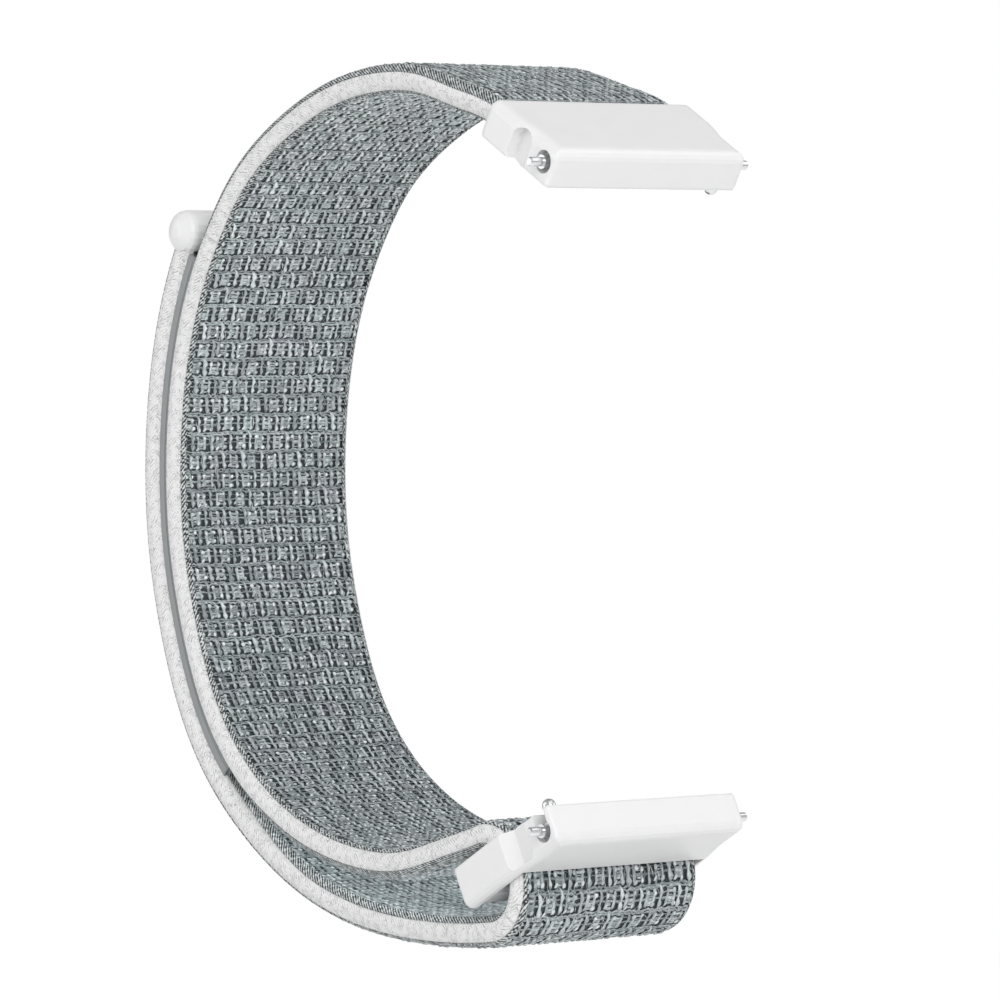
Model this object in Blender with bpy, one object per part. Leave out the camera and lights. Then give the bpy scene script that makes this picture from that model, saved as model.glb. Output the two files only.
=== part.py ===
# Nylon watch strap with quick-release spring bars, modelled as it hangs when it is off the watch.
# The origin lies midway between the two spring-bar axes: +X points from the wrist side to the watch,
# +Y runs along the bars, and +Z points from the lower connector to the upper one.
import math

import bmesh
import bpy
import numpy as np
from mathutils import Matrix, Vector

MM = 0.001

# Strap as a whole, seen from its side
BAR_SPACING = 53.6 * MM
LOOP_DEPTH = 53.2 * MM
CONNECTOR_TILT = math.radians(29.0)
HALF_SPACING = BAR_SPACING / 2

# Webbing, one length from the upper connector round the fold to the pull tab
WEBBING_WIDTH = 18.8 * MM
WEBBING_THICKNESS = 2.6 * MM
WEAVE_GAP = 0.05 * MM
WEBBING_CUT_GAP = 0.1 * MM
FOLD_ENTRY = math.radians(110.0)
FOLD_EXIT = math.radians(-82.0)
HALF_WIDTH = WEBBING_WIDTH / 2
HALF_THICKNESS = WEBBING_THICKNESS / 2

# Hook tape on the inner side of the tail
TAPE_THICKNESS = 0.46 * MM
TAPE_GAP = 0.05 * MM
TAPE_INSET = 0.43 * MM
LAYER_PITCH = WEBBING_THICKNESS + TAPE_THICKNESS + 2 * TAPE_GAP

# Pull tab at the tail's end
TONGUE_STEP = 0.45 * MM
TAB_WALL = 1.0 * MM
TAB_OVERHANG = 0.7 * MM
TAB_OFFSET = 0.45 * MM
TAB_END_ROUND = 1.3 * MM
TAB_FLAT_SETBACK = 1.6 * MM
TAB_GRIP_DEPTH = 1.8 * MM
TAB_GRIP_CLEARANCE = 0.05 * MM
TONGUE_THICKNESS = WEBBING_THICKNESS - 2 * TONGUE_STEP
TAB_DIAMETER = TONGUE_THICKNESS + 2 * (TAB_GRIP_CLEARANCE + TAB_WALL)
TAB_LENGTH = WEBBING_WIDTH + 2 * TAB_OVERHANG

# Watch case that the strap is made for
CASE_LUG_GAP = 20.0 * MM
CASE_CLEARANCE = 0.1 * MM

# Both moulded connectors; their own X points to the watch and their own Z away from the wrist
POCKET_CLEARANCE = 0.05 * MM
OUTER_WALL = 0.3 * MM
WRIST_WALL = 0.4 * MM
MOULD_CLEARANCE = 0.1 * MM
ARM_WALL = 0.9 * MM
LUG_END = 1.35 * MM
OUTER_FILLET = 0.85 * MM
WRIST_FILLET = 0.25 * MM
LUG_CORNER = 0.4 * MM
WING_CORNER = 0.8 * MM
LEAST_CORNER = 0.1 * MM
WAIST_FILLET = 3.0 * MM
WAIST_START = 1.95 * MM
NOTCH_RAMP = 2.05 * MM
NOTCH_DEPTH = 0.5 * MM
NOTCH_ROOF = 0.3 * MM
LUG_WIDTH = CASE_LUG_GAP - 2 * CASE_CLEARANCE
WING_WIDTH = WEBBING_WIDTH + 2 * (MOULD_CLEARANCE + ARM_WALL)
OUTER_HEIGHT = HALF_THICKNESS + POCKET_CLEARANCE + OUTER_WALL
WRIST_DEPTH = HALF_THICKNESS + POCKET_CLEARANCE + WRIST_WALL
NOTCH_CREASE = WAIST_START + NOTCH_RAMP
NOTCH_HEIGHT = OUTER_HEIGHT - NOTCH_ROOF

# Upper connector
UPPER_WALL_LEAN = 0.05 * MM
UPPER_ARM_LENGTH = 4.05 * MM
UPPER_NOTCH_ROUND = 1.0 * MM
POCKET_DEPTH = 3.4 * MM
ROD_DIAMETER = 1.0 * MM
ROD_COVER = 1.8 * MM
ROD_CLEARANCE = 0.05 * MM
ROD_END_WALL = 0.4 * MM
UPPER_WING_START = NOTCH_CREASE + UPPER_WALL_LEAN
UPPER_STRAP_END = UPPER_WING_START + UPPER_ARM_LENGTH
ROD_SETBACK = UPPER_STRAP_END - ROD_COVER

# Lower connector, whose crossbar fills the fold
LOWER_WALL_LEAN = 1.0 * MM
LOWER_ARM_REACH = 2.3 * MM
LOWER_NOTCH_ROUND = 0.45 * MM
LOWER_ARM_EXTRA = 0.3 * MM
CROSSBAR_DEPTH = 3.4 * MM
CROSSBAR_GAP = 0.9 * MM
CROSSBAR_OUTER_INSET = 0.1 * MM
CROSSBAR_WRIST_INSET = 0.2 * MM
CROSSBAR_FILLET = 1.1 * MM
SLOT_WALL = 0.48 * MM
FOLD_CLEARANCE = 0.12 * MM
FOLD_LEVEL = 0.26 * MM
FOLD_RADIUS = CROSSBAR_DEPTH / 2 + CROSSBAR_GAP + HALF_THICKNESS
FOLD_SETBACK = NOTCH_CREASE + SLOT_WALL + FOLD_CLEARANCE + HALF_THICKNESS + FOLD_RADIUS
LOWER_WING_START = NOTCH_CREASE + LOWER_WALL_LEAN
LOWER_STRAP_END = FOLD_SETBACK + LOWER_ARM_REACH

# Spring bars
TUBE_DIAMETER = 1.5 * MM
TUBE_CLEARANCE = 0.05 * MM
TUBE_END_SETBACK = 0.7 * MM
MOUTH_STEP = 0.165 * MM
MOUTH_DEPTH = 0.9 * MM
COLLAR_DIAMETER = 1.15 * MM
COLLAR_CLEARANCE = 0.03 * MM
COLLAR_STANDOUT = 0.2 * MM
TIP_DIAMETER = 0.78 * MM
TIP_LENGTH = 1.25 * MM
TIP_CHAMFER = 0.12 * MM
FIXED_PIN_START = 0.2 * MM
RELEASED_STANDOUT = 0.05 * MM
SPRING_WIRE = 0.16 * MM
SPRING_CLEARANCE = 0.075 * MM
SPRING_TURNS = 10
SPRING_SEAT_GAP = 0.05 * MM
BORE_DIAMETER = TUBE_DIAMETER + 2 * TUBE_CLEARANCE
MOUTH_DIAMETER = BORE_DIAMETER + 2 * MOUTH_STEP
TUBE_BORE = COLLAR_DIAMETER + 2 * COLLAR_CLEARANCE
TUBE_LENGTH = LUG_WIDTH - 2 * TUBE_END_SETBACK
COLLAR_REACH = LUG_WIDTH / 2 + COLLAR_STANDOUT
TIP_REACH = COLLAR_REACH + TIP_LENGTH
RELEASE_TRAVEL = TIP_REACH - LUG_WIDTH / 2 - RELEASED_STANDOUT
SPRING_DIAMETER = TUBE_BORE - SPRING_WIRE - 2 * SPRING_CLEARANCE

# Release lever on the plunger
LEVER_SETBACK = 2.9 * MM
LEVER_STEM = 0.8 * MM
LEVER_ROOT = 0.5 * MM
LEVER_ROOT_CLEARANCE = 0.03 * MM
LEVER_ROOT_GAP = 0.05 * MM
LEVER_HEAD = 1.15 * MM
LEVER_HEAD_GAP = 0.1 * MM
LEVER_HEAD_HEIGHT = 0.9 * MM
LEVER_SLOT_CLEARANCE = 0.1 * MM
PLUNGER_TAIL = 2.05 * MM
LEVER_REACH = TIP_REACH - LEVER_SETBACK
PLUNGER_START = LEVER_REACH - PLUNGER_TAIL
SLOT_INNER_REACH = LEVER_REACH - RELEASE_TRAVEL - LEVER_STEM / 2 - LEVER_SLOT_CLEARANCE

# Facets
ROUND_SEGMENTS = 20
FILLET_SEGMENTS = 4
WRIST_FILLET_SEGMENTS = 2
EDGE_SEGMENTS = 6
BALL_SEGMENTS = 6
COIL_SEGMENTS = 10
WIRE_SEGMENTS = 5
BAND_STEPS = 60
FOLD_STEPS = 20
TAIL_STEPS = 44
TAIL_CONTACT_SPANS = 9
SHARP_ANGLE = math.radians(35.0)
OVERRUN = 1.0 * MM

# Middle line of the band: shares of LOOP_DEPTH behind the bars and of half BAR_SPACING above them
BAND_SHARES = (
    (-0.233, 1.210),
    (-0.335, 1.262),
    (-0.430, 1.271),
    (-0.561, 1.232),
    (-0.695, 1.128),
    (-0.813, 0.970),
    (-0.884, 0.800),
    (-0.942, 0.595),
    (-0.982, 0.340),
    (-0.997, 0.070),
    (-0.989, -0.200),
    (-0.955, -0.465),
    (-0.882, -0.765),
    (-0.770, -0.980),
    (-0.642, -1.104),
    (-0.519, -1.158),
    (-0.381, -1.158),
    (-0.268, -1.099),
)

# How far the tail stands off beyond the two layers' own thickness: shares of the band's length,
# then shares of FOLD_RADIUS
TAIL_LIFT_SHARES = ((0.755, 0.02), (0.815, 0.17), (0.870, 0.33), (0.935, 0.72))

# Where the tail lies close on the band, from the pull tab on, as shares of the band's length
TAIL_END_SHARE = 0.370
TAIL_CONTACT_SHARE = 0.700
TAPE_END_SHARE = 0.547


def clear_scene():
    for old in list(bpy.data.objects):
        bpy.data.objects.remove(old, do_unlink=True)


def make_material(name, colour, roughness, metallic):
    material = bpy.data.materials.new(name)
    material.use_nodes = True
    shader = material.node_tree.nodes["Principled BSDF"]
    shader.inputs["Base Color"].default_value = (*colour, 1.0)
    shader.inputs["Roughness"].default_value = roughness
    shader.inputs["Metallic"].default_value = metallic
    return material


def make_empty(name, matrix, parent=None):
    empty = bpy.data.objects.new(name, None)
    bpy.context.scene.collection.objects.link(empty)
    empty.parent = parent
    empty.matrix_local = matrix
    return empty


def make_object(name, mesh_data, finish, parent=None):
    """Turns a closed bmesh, written in its parent's axes, into one named object."""
    colour, roughness, metallic = finish
    bmesh.ops.recalc_face_normals(mesh_data, faces=mesh_data.faces)
    mesh = bpy.data.meshes.new(name)
    mesh_data.to_mesh(mesh)
    mesh_data.free()
    mesh.shade_smooth()
    mesh.set_sharp_from_angle(angle=SHARP_ANGLE)
    piece = bpy.data.objects.new(name, mesh)
    bpy.context.scene.collection.objects.link(piece)
    piece.parent = parent
    mesh.materials.append(make_material(name, colour, roughness, metallic))
    return piece


def cut(piece, cutter_mesh, operation="DIFFERENCE"):
    """Adds a Boolean whose hidden guide is written in the same axes as the piece."""
    number = len(piece.modifiers) + 1
    mesh = bpy.data.meshes.new(f"{piece.name}_guide_{number}")
    bmesh.ops.recalc_face_normals(cutter_mesh, faces=cutter_mesh.faces)
    cutter_mesh.to_mesh(mesh)
    cutter_mesh.free()
    cutter = bpy.data.objects.new(mesh.name, mesh)
    bpy.context.scene.collection.objects.link(cutter)
    cutter.parent = piece.parent
    cutter.hide_render = True
    cutter.display_type = "WIRE"
    boolean = piece.modifiers.new(mesh.name, "BOOLEAN")
    boolean.operation = operation
    boolean.solver = "EXACT"
    boolean.object = cutter
    return cutter


def bridge(mesh_data, rings):
    """Skins a list of equal rings of vertices and caps both ends."""
    count = len(rings[0])
    for first, second in zip(rings, rings[1:]):
        for k in range(count):
            after = (k + 1) % count
            mesh_data.faces.new((first[k], first[after], second[after], second[k]))
    mesh_data.faces.new(rings[0])
    mesh_data.faces.new(rings[-1])


def box(low, high):
    mesh_data = bmesh.new()
    bmesh.ops.create_cube(mesh_data, size=1.0)
    size = [b - a for a, b in zip(low, high)]
    middle = [(a + b) / 2 for a, b in zip(low, high)]
    bmesh.ops.scale(mesh_data, vec=size, verts=mesh_data.verts)
    bmesh.ops.translate(mesh_data, vec=middle, verts=mesh_data.verts)
    return mesh_data


def round_bar(radius, start, end, direction="Y", centre=(0, 0)):
    """Cylinder along Y or Z; centre gives its place on the other two axes, in their order."""
    rings = []
    mesh_data = bmesh.new()
    for level in (start, end):
        ring = []
        for k in range(ROUND_SEGMENTS):
            turn = 2 * math.pi * k / ROUND_SEGMENTS
            u = centre[0] + radius * math.cos(turn)
            v = centre[1] + radius * math.sin(turn)
            place = (u, level, v) if direction == "Y" else (u, v, level)
            ring.append(mesh_data.verts.new(place))
        rings.append(ring)
    bridge(mesh_data, rings)
    return mesh_data


def turned(profile, direction="Y", centre=(0, 0), segments=ROUND_SEGMENTS):
    """Solid of revolution from (radius, level) pairs; both end pairs have a radius above zero."""
    mesh_data = bmesh.new()
    rings = []
    for radius, level in profile:
        ring = []
        for k in range(segments):
            turn = 2 * math.pi * k / segments
            u = centre[0] + radius * math.cos(turn)
            v = centre[1] + radius * math.sin(turn)
            place = (u, level, v) if direction == "Y" else (u, v, level)
            ring.append(mesh_data.verts.new(place))
        rings.append(ring)
    bridge(mesh_data, rings)
    return mesh_data


def rounded_polygon(corners, segments=FILLET_SEGMENTS):
    """Closed plane outline from (x, y, fillet radius) corners, each fillet a true arc."""
    points = []
    count = len(corners)
    for k, (x, y, radius) in enumerate(corners):
        here = Vector((x, y))
        back = (Vector(corners[k - 1][:2]) - here).normalized()
        on = (Vector(corners[(k + 1) % count][:2]) - here).normalized()
        if radius == 0:
            points.append(here)
            continue
        half_angle = back.angle(on) / 2
        reach = radius / math.tan(half_angle)
        centre = here + (back + on).normalized() * (radius / math.sin(half_angle))
        start = here + back * reach - centre
        end = here + on * reach - centre
        swing = start.angle_signed(end)
        for step in range(segments + 1):
            turn = -swing * step / segments
            arm = Matrix.Rotation(turn, 2) @ start
            points.append(centre + arm)
    return points


def prism(outline, start, end, plane="XZ"):
    """Straight extrusion of a plane outline: along Y for XZ, along Z for XY."""
    mesh_data = bmesh.new()
    rings = []
    for level in (start, end):
        if plane == "XZ":
            ring = [mesh_data.verts.new((u, level, v)) for u, v in outline]
        else:
            ring = [mesh_data.verts.new((u, v, level)) for u, v in outline]
        rings.append(ring)
    bridge(mesh_data, rings)
    return mesh_data


def arc_of(radius, segments=FILLET_SEGMENTS):
    """(run, rise) pairs of a quarter-round edge, from the flat face to the side wall."""
    pairs = []
    for step in range(segments + 1):
        turn = math.pi / 2 * step / segments
        pairs.append((radius * (1 - math.sin(turn)), radius * (1 - math.cos(turn))))
    return pairs


def unit(vectors):
    return vectors / np.linalg.norm(vectors, axis=-1, keepdims=True)


def smooth_curve(knots, start_direction, end_direction, count):
    """Clamped cubic spline through plane knots, returned as evenly spaced points and tangents."""
    knots = np.array(knots, dtype=float)
    spans = np.linalg.norm(np.diff(knots, axis=0), axis=1)
    station = np.concatenate([[0], np.cumsum(spans)])
    size = len(knots)
    system = np.zeros((size, size))
    target = np.zeros((size, 2))
    system[0, 0] = 1
    system[-1, -1] = 1
    target[0] = start_direction
    target[-1] = end_direction
    slopes = np.diff(knots, axis=0) / spans[:, None]
    for k in range(1, size - 1):
        before, after = spans[k - 1], spans[k]
        system[k, k - 1] = after
        system[k, k] = 2 * (before + after)
        system[k, k + 1] = before
        target[k] = 3 * (slopes[k - 1] * after + slopes[k] * before)
    velocity = np.linalg.solve(system, target)

    def sample(at):
        k = np.clip(np.searchsorted(station, at, side="right") - 1, 0, size - 2)
        span = spans[k][:, None]
        u = (at[:, None] - station[k][:, None]) / span
        first, last = knots[k], knots[k + 1]
        leave, arrive = velocity[k] * span, velocity[k + 1] * span
        place = first * (2 * u**3 - 3 * u**2 + 1) + leave * (u**3 - 2 * u**2 + u)
        place = place + last * (3 * u**2 - 2 * u**3) + arrive * (u**3 - u**2)
        pace = (last - first) * (6 * u - 6 * u**2)
        pace = pace + leave * (3 * u**2 - 4 * u + 1) + arrive * (3 * u**2 - 2 * u)
        return place, unit(pace)

    fine = np.linspace(0, station[-1], size * count)
    places = sample(fine)[0]
    lengths = np.concatenate([[0], np.cumsum(np.linalg.norm(np.diff(places, axis=0), axis=1))])
    even = np.interp(np.linspace(0, lengths[-1], count + 1), lengths, fine)
    return sample(even)


def outward(tangents):
    """Normals that point away from the wrist for a line running from the upper to the lower end."""
    return np.stack([tangents[:, 1], -tangents[:, 0]], axis=1)


def upper_point(x, z):
    """World X and Z of a point written in the upper connector's axes."""
    c, s = math.cos(CONNECTOR_TILT), math.sin(CONNECTOR_TILT)
    return np.array([x * c + z * s, HALF_SPACING - x * s + z * c])


def lower_point(x, z):
    """World X and Z of a point written in the lower connector's axes."""
    c, s = math.cos(CONNECTOR_TILT), math.sin(CONNECTOR_TILT)
    return np.array([x * c + z * s, -HALF_SPACING + x * s - z * c])


FOLD_CENTRE = lower_point(-FOLD_SETBACK, FOLD_LEVEL)


def fold_point(turn, radius):
    return FOLD_CENTRE + radius * np.array([math.cos(turn), math.sin(turn)])


def fold_direction(turn):
    return np.array([math.sin(turn), -math.cos(turn)])


def fold_line(start, end, count):
    """Points and tangents of the fold's arc between two angles, clockwise."""
    turns = np.linspace(start, end, count + 1)
    places = np.array([fold_point(turn, FOLD_RADIUS) for turn in turns])
    return places, np.array([fold_direction(turn) for turn in turns])


def band_line():
    """Middle line of the band from its cut end in the upper connector to the fold."""
    along = np.array([-math.cos(CONNECTOR_TILT), math.sin(CONNECTOR_TILT)])
    mouth = upper_point(-UPPER_STRAP_END, 0)
    cut_end = upper_point(-UPPER_STRAP_END + POCKET_DEPTH - MOULD_CLEARANCE, 0)
    knots = [mouth]
    knots += [np.array([LOOP_DEPTH * x, HALF_SPACING * z]) for x, z in BAND_SHARES]
    knots.append(fold_point(FOLD_ENTRY, FOLD_RADIUS))
    places, tangents = smooth_curve(knots, along, fold_direction(FOLD_ENTRY), BAND_STEPS)
    places = np.concatenate([[cut_end], places])
    tangents = np.concatenate([[along], tangents])
    return places, tangents


BAND_PLACES, BAND_TANGENTS = band_line()


def band_at(share):
    """Place and outward normal at a share of the band's curved length."""
    spot = 1 + share * BAND_STEPS
    k = int(spot)
    blend = spot - k
    after = min(k + 1, BAND_STEPS + 1)
    place = BAND_PLACES[k] * (1 - blend) + BAND_PLACES[after] * blend
    tangent = unit(BAND_TANGENTS[k] * (1 - blend) + BAND_TANGENTS[after] * blend)
    return place, outward(tangent[None])[0], tangent


def tail_line():
    """Middle line of the tail from the pull tab down to the fold, one layer outside the band."""
    knots = []
    for k in range(TAIL_CONTACT_SPANS + 1):
        way = k / TAIL_CONTACT_SPANS
        share = TAIL_END_SHARE + (TAIL_CONTACT_SHARE - TAIL_END_SHARE) * way
        place, normal, tangent = band_at(share)
        knots.append(place + normal * LAYER_PITCH)
        if k == 0:
            start_direction = tangent
    for share, lift in TAIL_LIFT_SHARES:
        place, normal, tangent = band_at(share)
        knots.append(place + normal * (LAYER_PITCH + lift * FOLD_RADIUS))
    knots.append(fold_point(FOLD_EXIT, FOLD_RADIUS))
    return smooth_curve(knots, start_direction, -fold_direction(FOLD_EXIT), TAIL_STEPS)


def strip(places, tangents, section_at, origin=(0, 0)):
    """Sweeps a closed (y, height) section along a line in the XZ plane."""
    normals = outward(tangents)
    mesh_data = bmesh.new()
    rings = []
    for k, (place, normal) in enumerate(zip(places, normals)):
        ring = []
        for y, height in section_at(k):
            x, z = place + normal * height - np.array(origin)
            ring.append(mesh_data.verts.new((x, y, z)))
        rings.append(ring)
    bridge(mesh_data, rings)
    return mesh_data


def field_section(half_thickness):
    """The webbing's flat grey field between its two selvedges."""
    reach = HALF_WIDTH - HALF_THICKNESS - WEAVE_GAP
    return [
        (-reach, -half_thickness),
        (reach, -half_thickness),
        (reach, half_thickness),
        (-reach, half_thickness),
    ]


def selvedge_section(side, half_thickness):
    """Round edge cord of the webbing, flat where the field meets it."""
    seam = HALF_WIDTH - HALF_THICKNESS
    points = []
    for step in range(EDGE_SEGMENTS + 1):
        turn = -math.pi / 2 + math.pi * step / EDGE_SEGMENTS
        reach = seam + HALF_THICKNESS * math.cos(turn)
        points.append((side * reach, half_thickness * math.sin(turn)))
    return points


def tape_section():
    reach = HALF_WIDTH - TAPE_INSET
    low = -HALF_THICKNESS - TAPE_GAP - TAPE_THICKNESS
    high = -HALF_THICKNESS - TAPE_GAP
    return [(-reach, low), (reach, low), (reach, high), (-reach, high)]


WEAVE_GREY = ((0.32, 0.36, 0.37), 0.85, 0.0)
WEAVE_WHITE = ((0.80, 0.80, 0.80), 0.85, 0.0)
HOOK_GREY = ((0.40, 0.42, 0.43), 0.70, 0.0)
MOULDED_WHITE = ((0.82, 0.82, 0.82), 0.38, 0.0)
POLISHED_STEEL = ((0.70, 0.70, 0.71), 0.18, 1.0)
SPRING_STEEL = ((0.45, 0.45, 0.46), 0.30, 1.0)


def make_webbing(stretch, places, tangents, thickness_at, parent=None, origin=(0, 0)):
    """Field and two selvedges of one stretch of the webbing."""
    pieces = []
    mesh_data = strip(places, tangents, lambda k: field_section(thickness_at(k)), origin)
    pieces.append(make_object(f"{stretch}_webbing", mesh_data, WEAVE_GREY, parent))
    for name, side in (("near", -1), ("far", 1)):
        mesh_data = strip(places, tangents, lambda k: selvedge_section(side, thickness_at(k)), origin)
        pieces.append(make_object(f"{stretch}_selvedge_{name}", mesh_data, WEAVE_WHITE, parent))
    return pieces


def make_band():
    pieces = make_webbing("band", BAND_PLACES, BAND_TANGENTS, lambda k: HALF_THICKNESS)
    radius = ROD_DIAMETER / 2 + ROD_CLEARANCE
    for piece in pieces:
        hole = round_bar(radius, -HALF_WIDTH - OVERRUN, HALF_WIDTH + OVERRUN,
                         centre=upper_point(-ROD_SETBACK, 0))
        cut(piece, hole)


def make_fold():
    gap_angle = WEBBING_CUT_GAP / FOLD_RADIUS
    places, tangents = fold_line(FOLD_ENTRY - gap_angle, FOLD_EXIT + gap_angle, FOLD_STEPS)
    make_webbing("fold", places, tangents, lambda k: HALF_THICKNESS)


def make_tail():
    """The tail turns about the outer face of the webbing where it leaves the fold."""
    hinge = fold_point(FOLD_EXIT, FOLD_RADIUS + HALF_THICKNESS)
    pivot = make_empty("tail_pivot", Matrix.Translation((hinge[0], 0, hinge[1])))
    places, tangents = tail_line()

    tongue_end = places[0] - tangents[0] * (TAB_GRIP_DEPTH - TAB_GRIP_CLEARANCE)
    all_places = np.concatenate([[tongue_end, places[0]], places])
    all_places[2] = places[0] + tangents[0] * WEBBING_CUT_GAP
    all_tangents = np.concatenate([[tangents[0], tangents[0]], tangents])
    half_sizes = [TONGUE_THICKNESS / 2] * 2 + [HALF_THICKNESS] * len(places)
    make_webbing("tail", all_places, all_tangents, lambda k: half_sizes[k], pivot, hinge)

    last = round(TAPE_END_SHARE * TAIL_STEPS)
    mesh_data = strip(all_places[2:last + 3], all_tangents[2:last + 3], lambda k: tape_section(), hinge)
    make_object("hook_tape", mesh_data, HOOK_GREY, pivot)
    make_tab(places[0], tangents[0], pivot, hinge)


def make_tab(end, direction, pivot, hinge):
    """Moulded bead with round ends; the tail's pressed tongue is gripped in its slot."""
    radius = TAB_DIAMETER / 2
    along = np.array(direction)
    normal = outward(along[None])[0]
    middle = end - along * TAB_FLAT_SETBACK + normal * TAB_OFFSET - hinge
    straight = TAB_LENGTH / 2 - TAB_END_ROUND
    profile = []
    for step in range(1, BALL_SEGMENTS + 1):
        turn = math.pi / 2 * step / BALL_SEGMENTS
        profile.append((radius * math.sin(turn), -straight - TAB_END_ROUND * math.cos(turn)))
    profile += [(r, -level) for r, level in reversed(profile)]
    tab = make_object("tail_tab", turned(profile, centre=middle), MOULDED_WHITE, pivot)

    slot_width = HALF_WIDTH + TAB_GRIP_CLEARANCE
    slot_half = TONGUE_THICKNESS / 2 + TAB_GRIP_CLEARANCE
    inner = end - along * TAB_GRIP_DEPTH - hinge
    outer = end + along * OVERRUN - hinge
    corners = [inner - normal * slot_half, inner + normal * slot_half]
    corners += [outer + normal * slot_half, outer - normal * slot_half]
    cut(tab, prism(corners, -slot_width, slot_width))
    shoulder = end - hinge
    wide = normal * (radius + OVERRUN)
    corners = [shoulder - wide, shoulder + wide, outer + wide + along * radius]
    corners.append(outer - wide + along * radius)
    cut(tab, prism(corners, -TAB_LENGTH, TAB_LENGTH))


def connector_blank(strap_end, wing_start, arm_extra):
    """Moulded block with a waist between wings and lug part, round on its outer edges."""
    half_lug = LUG_WIDTH / 2
    half_wing = WING_WIDTH / 2

    def outline(inset):
        side = [
            (LUG_END - inset, half_lug - inset, max(LUG_CORNER - inset, LEAST_CORNER)),
            (-WAIST_START, half_lug - inset, WAIST_FILLET),
            (-wing_start, half_wing - inset, WAIST_FILLET),
            (-strap_end + inset, half_wing - inset, max(WING_CORNER - inset, LEAST_CORNER)),
        ]
        mirrored = [(x, -y, r) for x, y, r in reversed(side)]
        return rounded_polygon(side + mirrored)

    def arm_share(x):
        """0 on the lug part, 1 on the arms, whose wrist face lies deeper."""
        return min(max((-x - NOTCH_CREASE) / (wing_start - NOTCH_CREASE), 0), 1)

    mesh_data = bmesh.new()
    rings = []
    for run, rise in arc_of(WRIST_FILLET, WRIST_FILLET_SEGMENTS):
        ring = []
        for x, y in outline(run):
            level = -WRIST_DEPTH - arm_extra * arm_share(x) + rise
            ring.append(mesh_data.verts.new((x, y, level)))
        rings.append(ring)
    for run, rise in reversed(arc_of(OUTER_FILLET)):
        level = OUTER_HEIGHT - rise
        rings.append([mesh_data.verts.new((x, y, level)) for x, y in outline(run)])
    for first, second in zip(rings, rings[1:]):
        for k in range(len(first)):
            mesh_data.faces.new((first[k - 1], first[k], second[k], second[k - 1]))
    for ring in (rings[0], rings[-1]):
        for k in range(len(ring) // 2 - 1):
            mesh_data.faces.new((ring[k], ring[k + 1], ring[-k - 2], ring[-k - 1]))
    return mesh_data


def cut_notch(piece, side, wing_start, end_round):
    """Finger notch: a wall at the wing, a crease, and a ramp that runs out at the lug part."""
    floor = LUG_WIDTH / 2 - NOTCH_DEPTH
    half_wing = WING_WIDTH / 2
    ramp = NOTCH_DEPTH / NOTCH_RAMP
    wall = (wing_start - NOTCH_CREASE) / (half_wing - floor)
    outside = half_wing + OVERRUN
    low = -WRIST_DEPTH - LOWER_ARM_EXTRA - OVERRUN
    far_x = -WAIST_START + OVERRUN
    plan = [
        (-NOTCH_CREASE - wall * (outside - floor), outside),
        (-NOTCH_CREASE, floor),
        (far_x, floor + ramp * (NOTCH_CREASE + far_x)),
        (far_x, outside),
    ]
    guide = cut(piece, prism([(x, side * y) for x, y in plan], low, NOTCH_HEIGHT + OVERRUN, "XY"))
    side_view = [
        (-wing_start, low, 0),
        (-WAIST_START, low, 0),
        (-WAIST_START, NOTCH_HEIGHT, end_round),
        (-wing_start, NOTCH_HEIGHT, end_round),
    ]
    cut(guide, prism(rounded_polygon(side_view), -2 * outside, 2 * outside), "INTERSECT")


def cut_bore(piece, wrist_depth):
    """Spring-bar bore with its wider mouths, and the lever's slot in the wrist face."""
    half = LUG_WIDTH / 2
    cut(piece, round_bar(BORE_DIAMETER / 2, -half - OVERRUN, half + OVERRUN))
    for side in (-1, 1):
        start, end = sorted((side * (half - MOUTH_DEPTH), side * (half + OVERRUN)))
        cut(piece, round_bar(MOUTH_DIAMETER / 2, start, end))
    reach = BORE_DIAMETER / 2
    cut(piece, box((-reach, SLOT_INNER_REACH, -wrist_depth - OVERRUN), (reach, half + OVERRUN, 0)))


def make_upper_connector(frame):
    mesh_data = connector_blank(UPPER_STRAP_END, UPPER_WING_START, 0)
    piece = make_object("upper_connector", mesh_data, MOULDED_WHITE, frame)
    for side in (-1, 1):
        cut_notch(piece, side, UPPER_WING_START, UPPER_NOTCH_ROUND)
    half_width = HALF_WIDTH + MOULD_CLEARANCE
    half_height = HALF_THICKNESS + POCKET_CLEARANCE
    low = (-UPPER_STRAP_END - OVERRUN, -half_width, -half_height)
    high = (-UPPER_STRAP_END + POCKET_DEPTH, half_width, half_height)
    cut(piece, box(low, high))
    reach = WING_WIDTH / 2 - ROD_END_WALL
    cut(piece, round_bar(ROD_DIAMETER / 2 + ROD_CLEARANCE, -reach, reach, centre=(-ROD_SETBACK, 0)))
    cut_bore(piece, WRIST_DEPTH)

    rod_reach = reach - ROD_CLEARANCE
    mesh_data = round_bar(ROD_DIAMETER / 2, -rod_reach, rod_reach, centre=(-ROD_SETBACK, 0))
    make_object("retaining_rod", mesh_data, POLISHED_STEEL, frame)


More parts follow.
